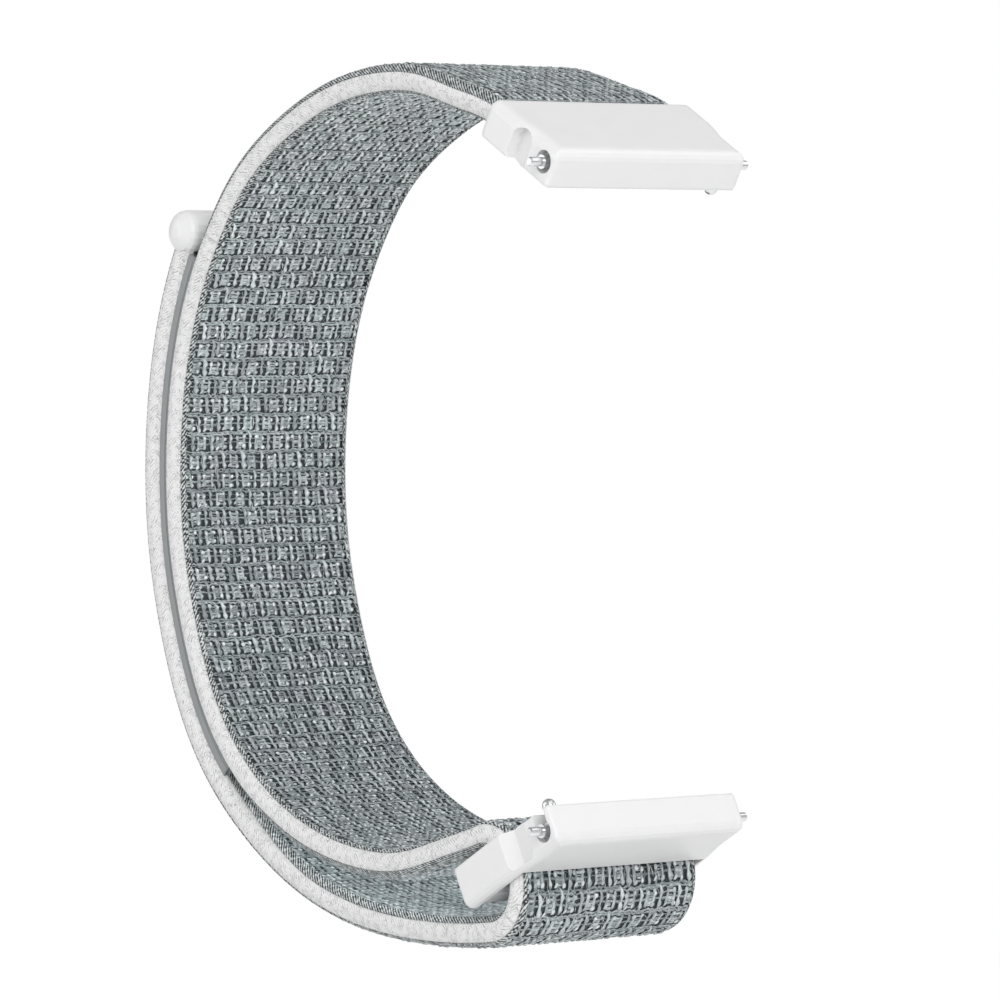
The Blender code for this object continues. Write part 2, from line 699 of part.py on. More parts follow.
def make_lower_connector(frame):
    depth = WRIST_DEPTH + LOWER_ARM_EXTRA
    mesh_data = connector_blank(LOWER_STRAP_END, LOWER_WING_START, LOWER_ARM_EXTRA)
    piece = make_object("lower_connector", mesh_data, MOULDED_WHITE, frame)
    for side in (-1, 1):
        cut_notch(piece, side, LOWER_WING_START, LOWER_NOTCH_ROUND)

    inner = HALF_WIDTH + MOULD_CLEARANCE
    slot_end = -FOLD_SETBACK + FOLD_RADIUS + HALF_THICKNESS + FOLD_CLEARANCE
    low = (-LOWER_STRAP_END - OVERRUN, -inner, -depth - OVERRUN)
    high = (slot_end, inner, OUTER_HEIGHT + OVERRUN)
    cut(piece, box(low, high))
    left = -FOLD_SETBACK - CROSSBAR_DEPTH / 2
    right = -FOLD_SETBACK + CROSSBAR_DEPTH / 2
    bottom = -depth + CROSSBAR_WRIST_INSET
    top = OUTER_HEIGHT - CROSSBAR_OUTER_INSET
    corners = [(left, bottom), (right, bottom), (right, top), (left, top)]
    section = rounded_polygon([(x, z, CROSSBAR_FILLET) for x, z in corners])
    root = inner + (WING_WIDTH / 2 - inner) / 2
    cut(piece, prism(section, -root, root), "UNION")
    cut_bore(piece, depth)


def pin_profile(start, side):
    """Collared pin from its inner end to its chamfered tip."""
    collar = COLLAR_DIAMETER / 2
    tip = TIP_DIAMETER / 2
    pairs = [
        (collar, start),
        (collar, COLLAR_REACH),
        (tip, COLLAR_REACH),
        (tip, TIP_REACH - TIP_CHAMFER),
        (tip - TIP_CHAMFER, TIP_REACH),
    ]
    return [(radius, side * level) for radius, level in pairs]


def coil(start, end):
    """Compression spring wire with closed end turns, as a swept helix about Y."""
    radius = SPRING_DIAMETER / 2
    steps = SPRING_TURNS * COIL_SEGMENTS
    low = start + SPRING_WIRE / 2
    rise = end - start - SPRING_WIRE
    mesh_data = bmesh.new()
    rings = []
    for k in range(steps + 1):
        turn = 2 * math.pi * SPRING_TURNS * k / steps
        arm = Vector((math.cos(turn), 0, math.sin(turn)))
        centre = arm * radius + Vector((0, low + rise * k / steps, 0))
        ring = []
        for j in range(WIRE_SEGMENTS):
            swing = 2 * math.pi * j / WIRE_SEGMENTS
            offset = arm * math.cos(swing) + Vector((0, 1, 0)) * math.sin(swing)
            ring.append(mesh_data.verts.new(centre + offset * SPRING_WIRE / 2))
        rings.append(ring)
    bridge(mesh_data, rings)
    return mesh_data


def make_spring_bar(label, frame):
    """Tube, fixed tip, sprung plunger with its lever, all on the frame's Y axis."""
    half_tube = TUBE_LENGTH / 2
    tube = make_object(f"{label}_bar_tube", round_bar(TUBE_DIAMETER / 2, -half_tube, half_tube),
                       POLISHED_STEEL, frame)
    cut(tube, round_bar(TUBE_BORE / 2, -half_tube - OVERRUN, half_tube + OVERRUN))
    slot_half = LEVER_STEM / 2 + LEVER_SLOT_CLEARANCE
    low = (-slot_half, SLOT_INNER_REACH, -TUBE_DIAMETER)
    high = (slot_half, LEVER_REACH + slot_half, 0)
    cut(tube, box(low, high))

    make_object(f"{label}_bar_fixed_tip", turned(pin_profile(-FIXED_PIN_START, -1)),
                POLISHED_STEEL, frame)
    plunger = make_object(f"{label}_bar_plunger", turned(pin_profile(PLUNGER_START, 1)),
                          POLISHED_STEEL, frame)
    root = LEVER_ROOT / 2
    depth = COLLAR_DIAMETER / 2
    cut(plunger, round_bar(root + LEVER_ROOT_CLEARANCE, -depth - OVERRUN, 0, "Z", (0, LEVER_REACH)))
    spring_start = FIXED_PIN_START + SPRING_SEAT_GAP
    make_object(f"{label}_bar_spring", coil(spring_start, PLUNGER_START - SPRING_SEAT_GAP),
                SPRING_STEEL, frame)

    stem = LEVER_STEM / 2
    head = LEVER_HEAD / 2
    head_base = WRIST_DEPTH + LEVER_HEAD_GAP
    head_rim = head_base + LEVER_HEAD_HEIGHT - head
    profile = [
        (root, -LEVER_ROOT_GAP),
        (root, -depth - LEVER_ROOT_GAP),
        (stem, -depth - LEVER_ROOT_GAP),
        (stem, -head_base),
        (head, -head_base),
    ]
    for step in range(FILLET_SEGMENTS):
        turn = math.pi / 2 * step / FILLET_SEGMENTS
        profile.append((head * math.cos(turn), -head_rim - head * math.sin(turn)))
    lever = turned(profile, "Z", (0, LEVER_REACH))
    make_object(f"{label}_bar_lever", lever, POLISHED_STEEL, frame)


def main():
    clear_scene()
    upper = Matrix.Translation((0, 0, HALF_SPACING)) @ Matrix.Rotation(CONNECTOR_TILT, 4, "Y")
    upper_frame = make_empty("upper_bar_axis", upper)
    fold_x, fold_z = FOLD_CENTRE
    pivot = Matrix.Translation((fold_x, 0, fold_z)) @ Matrix.Rotation(-CONNECTOR_TILT, 4, "Y")
    pivot = pivot @ Matrix.Rotation(math.pi, 4, "X")
    fold_pivot = make_empty("lower_connector_pivot", pivot)
    to_bar = Matrix.Translation((FOLD_SETBACK, 0, -FOLD_LEVEL))
    lower_frame = make_empty("lower_bar_axis", to_bar, fold_pivot)

    make_band()
    make_fold()
    make_tail()
    make_upper_connector(upper_frame)
    make_lower_connector(lower_frame)
    make_spring_bar("upper", upper_frame)
    make_spring_bar("lower", lower_frame)


main()
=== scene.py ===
# %% [markdown]
# # A woven nylon watch strap
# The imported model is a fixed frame: plain solids in the right size and place, which the joints move.
# This lesson dresses it. The plain webbing is replaced by real strands, laid flat in strap coordinates
# and then wrapped on the strap's route. The moulded and metal pieces keep their solids and get finishes.

# %% Load the frame
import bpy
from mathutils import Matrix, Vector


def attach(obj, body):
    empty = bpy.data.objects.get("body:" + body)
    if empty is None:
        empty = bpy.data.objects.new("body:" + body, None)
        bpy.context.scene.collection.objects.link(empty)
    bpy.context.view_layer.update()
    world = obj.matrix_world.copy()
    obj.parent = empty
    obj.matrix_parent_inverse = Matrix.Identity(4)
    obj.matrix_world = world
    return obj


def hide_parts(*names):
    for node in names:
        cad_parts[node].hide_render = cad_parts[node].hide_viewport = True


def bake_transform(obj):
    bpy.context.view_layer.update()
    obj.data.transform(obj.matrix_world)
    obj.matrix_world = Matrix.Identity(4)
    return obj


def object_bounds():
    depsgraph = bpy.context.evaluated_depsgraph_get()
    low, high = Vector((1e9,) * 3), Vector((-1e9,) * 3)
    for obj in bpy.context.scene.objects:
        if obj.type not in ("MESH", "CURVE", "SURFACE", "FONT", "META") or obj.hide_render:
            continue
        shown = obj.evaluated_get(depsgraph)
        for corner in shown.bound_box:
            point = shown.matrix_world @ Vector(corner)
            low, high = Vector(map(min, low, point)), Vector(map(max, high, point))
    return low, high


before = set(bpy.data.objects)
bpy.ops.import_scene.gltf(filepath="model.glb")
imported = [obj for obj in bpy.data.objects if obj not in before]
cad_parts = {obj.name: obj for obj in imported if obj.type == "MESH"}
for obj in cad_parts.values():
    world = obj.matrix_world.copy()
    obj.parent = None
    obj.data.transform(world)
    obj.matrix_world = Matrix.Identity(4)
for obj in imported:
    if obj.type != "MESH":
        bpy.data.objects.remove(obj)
cad_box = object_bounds()

# %% Tools
import math
from functools import partial

import bpy
import numpy as np
from mathutils import Matrix, Vector

MM = 0.001
draw = np.random.default_rng(11)

# %% [markdown]
# ## Camera
# The photograph shows the strap almost level, turned so that its near edge faces left. A long lens
# keeps the two connectors nearly parallel. The camera is written as a place and the direction of its
# right hand, worked out from the spring-bar axes and the connector edges.

# %% Camera
CAMERA_PLACE = Vector((373.845, -306.362, 16.149)) * MM
CAMERA_TURN = math.radians(52.0)
CAMERA_DIP = math.radians(1.967)
LENS = 214.758
SENSOR = 36.0

right = Vector((math.cos(CAMERA_TURN), math.sin(CAMERA_TURN), 0))
level = Vector((-math.sin(CAMERA_TURN), math.cos(CAMERA_TURN), 0))
forward = level * math.cos(CAMERA_DIP) - Vector((0, 0, math.sin(CAMERA_DIP)))
camera_data = bpy.data.cameras.new("camera")
camera_data.lens = LENS
camera_data.sensor_width = SENSOR
camera = bpy.data.objects.new("camera", camera_data)
camera.matrix_world = Matrix((right, right.cross(forward), -forward)).transposed().to_4x4()
camera.location = CAMERA_PLACE
bpy.context.scene.collection.objects.link(camera)
bpy.context.scene.camera = camera
print("camera looks along", [round(v, 3) for v in forward])

# %% [markdown]
# ## The strap's route
# Seen from its side the webbing is one line: out of the upper connector, down round the wrist, round
# the crossbar of the lower connector and back up outside itself to the pull tab. The route is the same
# spline as the frame's, so every strand drawn on it lands on the solid that it replaces.

# %% Sizes of the route
HALF_SPACING = 26.8 * MM
LOOP_DEPTH = 53.2 * MM
TILT = math.radians(29.0)
HALF_WIDTH = 9.4 * MM
HALF_THICKNESS = 1.3 * MM
UPPER_MOUTH = 8.1 * MM
FOLD_SETBACK = 9.8 * MM
FOLD_LEVEL = 0.26 * MM
FOLD_RADIUS = 3.9 * MM
FOLD_ENTRY = math.radians(110.0)
FOLD_EXIT = math.radians(-82.0)
LAYER_PITCH = 3.16 * MM
TAIL_END_SHARE = 0.370
TAIL_CONTACT_SHARE = 0.700
TAIL_CONTACT_SPANS = 9
TAIL_LIFT_SHARES = ((0.755, 0.02), (0.815, 0.17), (0.870, 0.33), (0.935, 0.72))
TAPE_END_SHARE = 0.547
BAND_SHARES = (
    (-0.233, 1.210), (-0.335, 1.262), (-0.430, 1.271), (-0.561, 1.232), (-0.695, 1.128),
    (-0.813, 0.970), (-0.884, 0.800), (-0.942, 0.595), (-0.982, 0.340), (-0.997, 0.070),
    (-0.989, -0.200), (-0.955, -0.465), (-0.882, -0.765), (-0.770, -0.980), (-0.642, -1.104),
    (-0.519, -1.158), (-0.381, -1.158), (-0.268, -1.099),
)


# %% Spline through the knots
def unit(vectors):
    return vectors / np.linalg.norm(vectors, axis=-1, keepdims=True)


def smooth_curve(knots, start_direction, end_direction, count):
    """Clamped cubic spline through plane knots, returned as evenly spaced points."""
    knots = np.array(knots, dtype=float)
    spans = np.linalg.norm(np.diff(knots, axis=0), axis=1)
    station = np.concatenate([[0], np.cumsum(spans)])
    size = len(knots)
    system = np.zeros((size, size))
    target = np.zeros((size, 2))
    system[0, 0] = system[-1, -1] = 1
    target[0], target[-1] = start_direction, end_direction
    slopes = np.diff(knots, axis=0) / spans[:, None]
    for k in range(1, size - 1):
        before, after = spans[k - 1], spans[k]
        system[k, k - 1:k + 2] = after, 2 * (before + after), before
        target[k] = 3 * (slopes[k - 1] * after + slopes[k] * before)
    velocity = np.linalg.solve(system, target)
    fine = np.linspace(0, station[-1], 8 * count)
    k = np.clip(np.searchsorted(station, fine, side="right") - 1, 0, size - 2)
    span = spans[k][:, None]
    u = (fine - station[k])[:, None] / span
    places = knots[k] * (2 * u**3 - 3 * u**2 + 1) + velocity[k] * span * (u**3 - 2 * u**2 + u)
    places = places + knots[k + 1] * (3 * u**2 - 2 * u**3) + velocity[k + 1] * span * (u**3 - u**2)
    lengths = np.concatenate([[0], np.cumsum(np.linalg.norm(np.diff(places, axis=0), axis=1))])
    even = np.linspace(0, lengths[-1], count + 1)
    return np.stack([np.interp(even, lengths, places[:, axis]) for axis in (0, 1)], axis=1)


# %% Band, fold and tail on one line
def upper_point(x, z):
    c, s = math.cos(TILT), math.sin(TILT)
    return np.array([x * c + z * s, HALF_SPACING - x * s + z * c])


def lower_point(x, z):
    c, s = math.cos(TILT), math.sin(TILT)
    return np.array([x * c + z * s, -HALF_SPACING + x * s - z * c])


def fold_point(turn, radius):
    return FOLD_CENTRE + radius * np.array([math.cos(turn), math.sin(turn)])


def fold_direction(turn):
    return np.array([math.sin(turn), -math.cos(turn)])


def lines_normals(places):
    """Normals on the left of a line in the XZ plane that runs down the band: away from the wrist."""
    tangents = unit(np.gradient(places, axis=0))
    return np.stack([tangents[:, 1], -tangents[:, 0]], axis=1)


FOLD_CENTRE = lower_point(-FOLD_SETBACK, FOLD_LEVEL)
LINE_STEPS = 600
POCKET_START = 1.0 * MM

along_upper = np.array([-math.cos(TILT), math.sin(TILT)])
knots = [upper_point(-UPPER_MOUTH, 0)]
knots += [np.array([LOOP_DEPTH * x, HALF_SPACING * z]) for x, z in BAND_SHARES]
knots.append(fold_point(FOLD_ENTRY, FOLD_RADIUS))
band = smooth_curve(knots, along_upper, fold_direction(FOLD_ENTRY), LINE_STEPS)
band_normals = lines_normals(band)


def beside_band(share, distance):
    k = round(share * LINE_STEPS)
    return band[k] + band_normals[k] * distance


knots = []
for k in range(TAIL_CONTACT_SPANS + 1):
    way = k / TAIL_CONTACT_SPANS
    share = TAIL_END_SHARE + (TAIL_CONTACT_SHARE - TAIL_END_SHARE) * way
    knots.append(beside_band(share, LAYER_PITCH))
for share, lift in TAIL_LIFT_SHARES:
    knots.append(beside_band(share, LAYER_PITCH + lift * FOLD_RADIUS))
knots.append(fold_point(FOLD_EXIT, FOLD_RADIUS))
first = round(TAIL_END_SHARE * LINE_STEPS)
tail = smooth_curve(knots, unit(band[first + 1] - band[first - 1]), -fold_direction(FOLD_EXIT), LINE_STEPS)

turns = np.linspace(FOLD_ENTRY, FOLD_EXIT, LINE_STEPS // 3)
fold = np.array([fold_point(turn, FOLD_RADIUS) for turn in turns])
route = np.concatenate([[band[0] - along_upper * POCKET_START], band, fold[1:-1], tail[::-1]])
station = np.concatenate([[0], np.cumsum(np.linalg.norm(np.diff(route, axis=0), axis=1))])
normals = lines_normals(route)
FOLD_START = station[LINE_STEPS + 1]
FOLD_STOP = station[-LINE_STEPS - 1]
ROUTE_END = station[-1]
print("route", round(ROUTE_END / MM, 1), "mm, fold at", [round(v / MM, 1) for v in (FOLD_START, FOLD_STOP)])

# %% A straight run-on for what reaches into the pull tab
TUCK = 0.9 * MM
RUN_ON = 2.0 * MM
route = np.vstack([route, route[-1] + unit(route[-1] - route[-2]) * RUN_ON])
station = np.append(station, ROUTE_END + RUN_ON)
normals = np.vstack([normals, normals[-1]])

# %% [markdown]
# ## Drawing flat, then wrapping
# A weave is easiest to lay out flat. Here a point is (across, along, height): across is the distance
# round the webbing's edge outline from the middle of one face, along is the distance down the route,
# and height stands off the surface. wrap() takes such points to the strap. The show face is the one
# on the wrist, which the fold turns to the outside of the tail; the back face carries the hook tape.

# %% Wrap flat points on the strap
FLAT_HALF = HALF_WIDTH - HALF_THICKNESS
EDGE_ROUND = math.pi * HALF_THICKNESS
HALF_OUTLINE = 2 * FLAT_HALF + EDGE_ROUND


def place(across, along, level):
    """A point beside the route: across the strap, and level away from its middle, to the back side."""
    x, z = (np.interp(along, station, route[:, axis]) for axis in (0, 1))
    nx, nz = (np.interp(along, station, normals[:, axis]) for axis in (0, 1))
    return np.stack([x + nx * level, across, z + nz * level], axis=-1)


def wrap(flat, face="show"):
    """(..., 3) points of across, along and height to places in the frame."""
    across, along, height = flat[..., 0], flat[..., 1], flat[..., 2]
    if face == "level":
        return place(across, along, height)
    side = np.where(across < 0, -1.0, 1.0)
    reach = np.abs(across)
    if face == "back":
        reach = HALF_OUTLINE - reach
    turn = np.clip((reach - FLAT_HALF) / HALF_THICKNESS, 0, math.pi)
    y = np.where(reach < FLAT_HALF, reach, FLAT_HALF + HALF_THICKNESS * np.sin(turn))
    y = np.where(reach > FLAT_HALF + EDGE_ROUND, HALF_OUTLINE - reach, y)
    return place(side * (y + height * np.sin(turn)), along, -(HALF_THICKNESS + height) * np.cos(turn))


# %% [markdown]
# ## Strands
# A strand is a thin closed tube. Many strands are built at once as one grid of rings, because a loop
# over every vertex would be slow. Each point also stores where it is on its yarn (round it, along it,
# and a number for the yarn) and where it is on the flat strap, so that the finishes can follow both.

# %% Slow wander of the weave
DRIFT_OVER = ((0.04, 0.6, 0.53, 0.0), (0.04, 0.0, 1.1, 2.0))
DRIFT_DOWN = ((0.04, 0.9, 0.31, 0.0), (0.03, 0.37, -0.73, 1.3))
DRIFT_REACH = 9.0


def slow_waves(table, a, b):
    """Sum of sine waves given as (size, rate across, rate along, start), all in mm and radians."""
    return sum(size * np.sin(over * a + down * b + start) for size, over, down, start in table)


def drift(across, along):
    """How far the weave strays over and down, so that no row runs dead straight."""
    a, b = across / MM, along / MM
    inside = np.clip(1 - (a / DRIFT_REACH) ** 2, 0, 1)
    return inside * slow_waves(DRIFT_OVER, a, b) * MM, slow_waves(DRIFT_DOWN, a, b) * MM


# %% Painted light: a glow for the wedge between band and tail
WEDGE_SPANS = ((96 * MM, FOLD_START - 1 * MM), (FOLD_STOP + 1 * MM, 184 * MM))
WEDGE_EDGE = 10.8 * MM
WEDGE_FADE_OVER = 1.0 * MM
WEDGE_FADE_DOWN = 5.0 * MM


def wedge(flat, face):
    """1 on the back face where band and tail face each other, 0 elsewhere."""
    reach = np.abs(flat[..., 0])
    if face == "back":
        reach = HALF_OUTLINE - reach
    inside = np.clip((reach - WEDGE_EDGE) / WEDGE_FADE_OVER, 0, 1)
    ramps = [np.clip(np.minimum(flat[..., 1] - start, stop - flat[..., 1]) / WEDGE_FADE_DOWN, 0, 1)
             for start, stop in WEDGE_SPANS]
    return inside * np.maximum(*ramps)


# %% Stations along one stretch
def stations(first, last, step):
    """Even stations; the last stretch runs on a little, into the pull tab."""
    stop = last * REPEAT + (TUCK if last == REPEATS else 0)
    return np.linspace(first * REPEAT, stop, round((stop - first * REPEAT) / step) + 1)


# %% Closed tubes from rings
def outside_out(places, faces):
    """Turns all faces over if the tubes came out inside out."""
    corner = places[faces]
    volume = np.einsum("ij,ij->i", corner[:, 0], np.cross(corner[:, 1], corner[:, 2])).sum()
    volume += np.einsum("ij,ij->i", corner[:, 0], np.cross(corner[:, 2], corner[:, 3])).sum()
    return faces if volume > 0 else faces[:, ::-1]


def tubes(rings, yarn, face):
    """(tubes, rings, points, 3) flat points to places, faces and end caps.

    For the finishes, across counts from the middle of the show face on both faces.
    """
    count, samples, sides = rings.shape[:3]
    index = np.arange(count * samples * sides).reshape(count, samples, sides)
    after = np.roll(index, -1, axis=2)
    faces = np.stack([index[:, :-1], after[:, :-1], after[:, 1:], index[:, 1:]], axis=-1).reshape(-1, 4)
    places = wrap(rings, face).reshape(-1, 3)
    flat = rings.copy()
    if face == "back":
        flat[..., 0] = np.where(flat[..., 0] < 0, -1, 1) * (HALF_OUTLINE - np.abs(flat[..., 0]))
    return {"places": places, "faces": outside_out(places, faces), "yarn": yarn.reshape(-1, 3),
            "caps": np.concatenate([index[:, 0], index[:, -1]]), "flat": flat.reshape(-1, 3) / MM,
            "wedge": wedge(rings, face).reshape(-1)}


def strands(centres, across, half_width, half_height, face, sides, second=2):
    """Tubes along (strands, samples, 3) flat centres; across is the axis that their width lies on."""
    count, samples = centres.shape[:2]
    turn = 2 * math.pi * (np.arange(sides) + 0.25) / sides
    rings = np.repeat(centres[:, :, None, :], sides, axis=2)
    rings[..., across] += np.broadcast_to(half_width, (count, samples))[..., None] * np.cos(turn)
    rings[..., second] += np.broadcast_to(half_height, (count, samples))[..., None] * np.sin(turn)
    over, down = drift(rings[..., 0], rings[..., 1])
    rings[..., 0] += over
    rings[..., 1] += down
    # How high round the yarn each point sits. The finish uses it for the plies and for painted shade on the
    # yarn's sides.
    crown = np.broadcast_to(0.5 + 0.5 * np.sin(turn), rings.shape[:3])
    length = np.broadcast_to(centres[..., 1 - across, None] / MM, rings.shape[:3])
    number = np.broadcast_to(draw.random(count)[:, None, None], rings.shape[:3])
    return tubes(rings, np.stack([crown, length, number], axis=-1), face)


def plain_strip(flat, face):
    """One closed strip from (rings, points, 3) flat points."""
    yarn = np.stack([np.ones(flat.shape[:2]), flat[..., 1] / MM, np.full(flat.shape[:2], 0.5)], axis=-1)
    return tubes(flat[None], yarn, face)


# %% One object from several sets of strands
def store(mesh, name, values):
    layer = mesh.attributes.new(name, "FLOAT_VECTOR", "POINT")
    layer.data.foreach_set("vector", values.astype(np.float32).ravel())


def woven_piece(name, parts, finish):
    """Joins strand sets into one smooth mesh object with its yarn and flat coordinates."""
    places, faces, start = [], [], 0
    for part in parts:
        places.append(part["places"])
        faces += (part["faces"] + start).tolist()
        faces += (part["caps"] + start).tolist()
        start += len(part["places"])
    mesh = bpy.data.meshes.new(name)
    mesh.from_pydata(np.concatenate(places), [], faces)
    store(mesh, "yarn", np.concatenate([part["yarn"] for part in parts]))
    store(mesh, "flat", np.concatenate([part["flat"] for part in parts]))
    # The wedge mask drives the painted glow in the fabric finish.
    painted_glow_mask = mesh.attributes.new("wedge", "FLOAT", "POINT")
    painted_glow_mask.data.foreach_set("value", np.concatenate([part["wedge"] for part in parts]).astype(np.float32))
    mesh.shade_smooth()
    mesh.materials.append(finish)
    piece = bpy.data.objects.new(name, mesh)
    bpy.context.scene.collection.objects.link(piece)
    print(name, len(mesh.polygons), "faces")
    return piece


# %% [markdown]
# ## Yarn finish
# Nylon yarn is a bundle of fine filaments with a slight twist, so it is never one flat tone: the plies
# make fine diagonal lines, and the dye takes unevenly along a yarn. Painted shade is laid on as well:
# it swings slowly down the strap, darkens the sides of each yarn and darkens yarn that lies deep. These
# effects are in one node group, used by every yarn with its own numbers, and the shader itself stays in the
# material.

# %% Node helpers
def new_group(name, inputs, outputs):
    group = bpy.data.node_groups.new(name, "ShaderNodeTree")
    for label, kind, value in inputs:
        socket = group.interface.new_socket(label, in_out="INPUT", socket_type=kind)
        if value is not None:
            socket.default_value = value
    for label, kind in outputs:
        group.interface.new_socket(label, in_out="OUTPUT", socket_type=kind)
    entry = group.nodes.new("NodeGroupInput")
    leave = group.nodes.new("NodeGroupOutput")
    print("node group", name)
    return group, entry, leave


def math_node(tree, operation, *values):
    node = tree.nodes.new("ShaderNodeMath")
    node.operation = operation
    for socket, value in zip(node.inputs, values):
        if isinstance(value, (int, float)):
            socket.default_value = value
        else:
            tree.links.new(value, socket)
    return node.outputs[0]


def noise_node(tree, vector, scale, detail=2.0, roughness=0.5):
    node = tree.nodes.new("ShaderNodeTexNoise")
    node.inputs["Scale"].default_value = scale
    node.inputs["Detail"].default_value = detail
    node.inputs["Roughness"].default_value = roughness
    tree.links.new(vector, node.inputs["Vector"])
    return node.outputs["Fac"]


def colour_mix(tree, factor, low, high):
    node = tree.nodes.new("ShaderNodeMix")
    node.data_type = "RGBA"
    tree.links.new(factor, node.inputs["Factor"])
    for socket, value in ((node.inputs["A"], low), (node.inputs["B"], high)):
        if isinstance(value, tuple):
            socket.default_value = (*value, 1.0)
        else:
            tree.links.new(value, socket)
    return node.outputs["Result"]


# %% Yarn group: plies and uneven dye
FLOAT = "NodeSocketFloat"
VECTOR = "NodeSocketVector"
PATCHES_PER_MM = 1.3
YARN_BY_YARN = 0.7
UNEVEN_GAIN = 2.0
PLY_TONE, MIDDLE_TONE = 0.35, 0.32
yarn_group, entry, leave = new_group(
    "twisted yarn",
    [("Yarn", VECTOR, None), ("Flat", VECTOR, None), ("Plies", FLOAT, 3.0), ("Twist per mm", FLOAT, 1.2),
     ("Unevenness", FLOAT, 0.5)],
    [("Tone", FLOAT), ("Tint", FLOAT), ("Height", FLOAT)],
)
calc = partial(math_node, yarn_group)
yarn_place = yarn_group.nodes.new("ShaderNodeSeparateXYZ")
yarn_group.links.new(entry.outputs["Yarn"], yarn_place.inputs[0])
around = calc("MULTIPLY", yarn_place.outputs["X"], entry.outputs["Plies"])
climb = calc("MULTIPLY", yarn_place.outputs["Y"], entry.outputs["Twist per mm"])
phase = calc("ADD", around, climb)
wave = calc("SINE", calc("MULTIPLY", phase, 2 * math.pi))
ply = calc("MULTIPLY_ADD", wave, 0.5, 0.5)
patch = noise_node(yarn_group, entry.outputs["Flat"], PATCHES_PER_MM, 3.0, 0.65)
patch = calc("SUBTRACT", patch, 0.5)
own = calc("SUBTRACT", yarn_place.outputs["Z"], 0.5)
shift = calc("ADD", patch, calc("MULTIPLY", own, YARN_BY_YARN))
uneven = calc("MULTIPLY", shift, entry.outputs["Unevenness"])
tone = calc("MULTIPLY_ADD", ply, PLY_TONE, MIDDLE_TONE)
tone = calc("ADD", tone, calc("MULTIPLY", uneven, UNEVEN_GAIN))

# %% Yarn group: painted shade slowly down the show face, on the sides of each yarn and on deep yarn
BACK_FROM = 9.9
SHADE_HALF_WAVE = 105.0
SHADE_SWING, SHADE_LEVEL, TONE_DROP = 0.36, 0.34, 0.24
CROWN_SHADE_GAIN, CROWN_SHADE_BASE = 0.8, 0.2
DEPTH_SHADE_GAIN, DEPTH_SHADE_FLOOR = 3.0, 0.3
TINT_SCALE, TINT_SWING = 0.28, 1.6
flat_place = yarn_group.nodes.new("ShaderNodeSeparateXYZ")
yarn_group.links.new(entry.outputs["Flat"], flat_place.inputs[0])
# Painted shade and light: the show face is lighter near the upper connector and darker round the bottom of
# the loop, to even out how the lamps light it. The back face gets only the drop, so it is darker.
down_strap = calc("MULTIPLY", flat_place.outputs["Y"], math.pi / SHADE_HALF_WAVE)
slow_shade_wave = calc("COSINE", down_strap)
reach = calc("ABSOLUTE", flat_place.outputs["X"])
front = calc("LESS_THAN", reach, BACK_FROM)
painted_shade = calc("MULTIPLY_ADD", slow_shade_wave, SHADE_SWING, SHADE_LEVEL)
painted_shade = calc("SUBTRACT", calc("MULTIPLY", painted_shade, front), TONE_DROP)
tone = calc("ADD", tone, painted_shade)
# Painted shade: each yarn is darker on its sides than on its top.
crown = calc("POWER", yarn_place.outputs["X"], 2.0)
crown = calc("MULTIPLY_ADD", crown, CROWN_SHADE_GAIN, CROWN_SHADE_BASE)
# Painted shade: yarn that lies deeper is darker.
depth = calc("MULTIPLY_ADD", flat_place.outputs["Z"], DEPTH_SHADE_GAIN, 1.0)
depth = calc("MAXIMUM", depth, DEPTH_SHADE_FLOOR)
tone = calc("MULTIPLY", calc("MULTIPLY", tone, crown), depth)
broad = calc("SUBTRACT", noise_node(yarn_group, entry.outputs["Flat"], TINT_SCALE, 2.0), 0.5)
tint = calc("MULTIPLY_ADD", broad, TINT_SWING, 0.5)
yarn_group.links.new(tone, leave.inputs["Tone"])
yarn_group.links.new(tint, leave.inputs["Tint"])
yarn_group.links.new(ply, leave.inputs["Height"])


# %% Whipped border group: slanting stitches, some missing, with painted shade between them
STRAY_SCALE, STRAY_SIZE = 0.9, 0.4
INNER_COARSER = -0.2
STITCH_SHADE_CONTRAST = 0.5
CLUMP_SCALE, CLUMP_GAIN, CLUMP_LOSS = 2.6, 2.6, -0.95
SPECK_SCALE, SPECK_GAIN = 4.5, 4.0
whip_group, entry, leave = new_group(
    "whipped border", [("Flat", VECTOR, None), ("Stitches per mm", FLOAT, 2.6), ("Slant", FLOAT, -1.55)],
    [("Light", FLOAT)],
)
calc = partial(math_node, whip_group)
flat = entry.outputs["Flat"]
flat_place = whip_group.nodes.new("ShaderNodeSeparateXYZ")
whip_group.links.new(flat, flat_place.inputs[0])
reach = calc("ABSOLUTE", flat_place.outputs["X"])
stray = calc("MULTIPLY", noise_node(whip_group, flat, STRAY_SCALE, 2.0), STRAY_SIZE)
down = calc("ADD", flat_place.outputs["Y"], stray)
down = calc("MULTIPLY_ADD", reach, entry.outputs["Slant"], down)
inner = calc("LESS_THAN", reach, BACK_FROM)
pace = calc("MULTIPLY_ADD", inner, INNER_COARSER, entry.outputs["Stitches per mm"])
turns = calc("MULTIPLY", down, pace)
wave = calc("SINE", calc("MULTIPLY", turns, 2 * math.pi))
clump = noise_node(whip_group, flat, CLUMP_SCALE, 3.0)
clump = calc("MULTIPLY_ADD", clump, CLUMP_GAIN, CLUMP_LOSS)
light = calc("MULTIPLY_ADD", wave, STITCH_SHADE_CONTRAST, clump)
speck = noise_node(whip_group, flat, SPECK_SCALE, 2.0)
speck = calc("MULTIPLY_ADD", speck, SPECK_GAIN, -SPECK_GAIN / 2)
light = calc("MULTIPLY_ADD", speck, inner, light)
light = calc("MINIMUM", calc("MAXIMUM", light, 0.0), 1.0)
whip_group.links.new(light, leave.inputs["Light"])


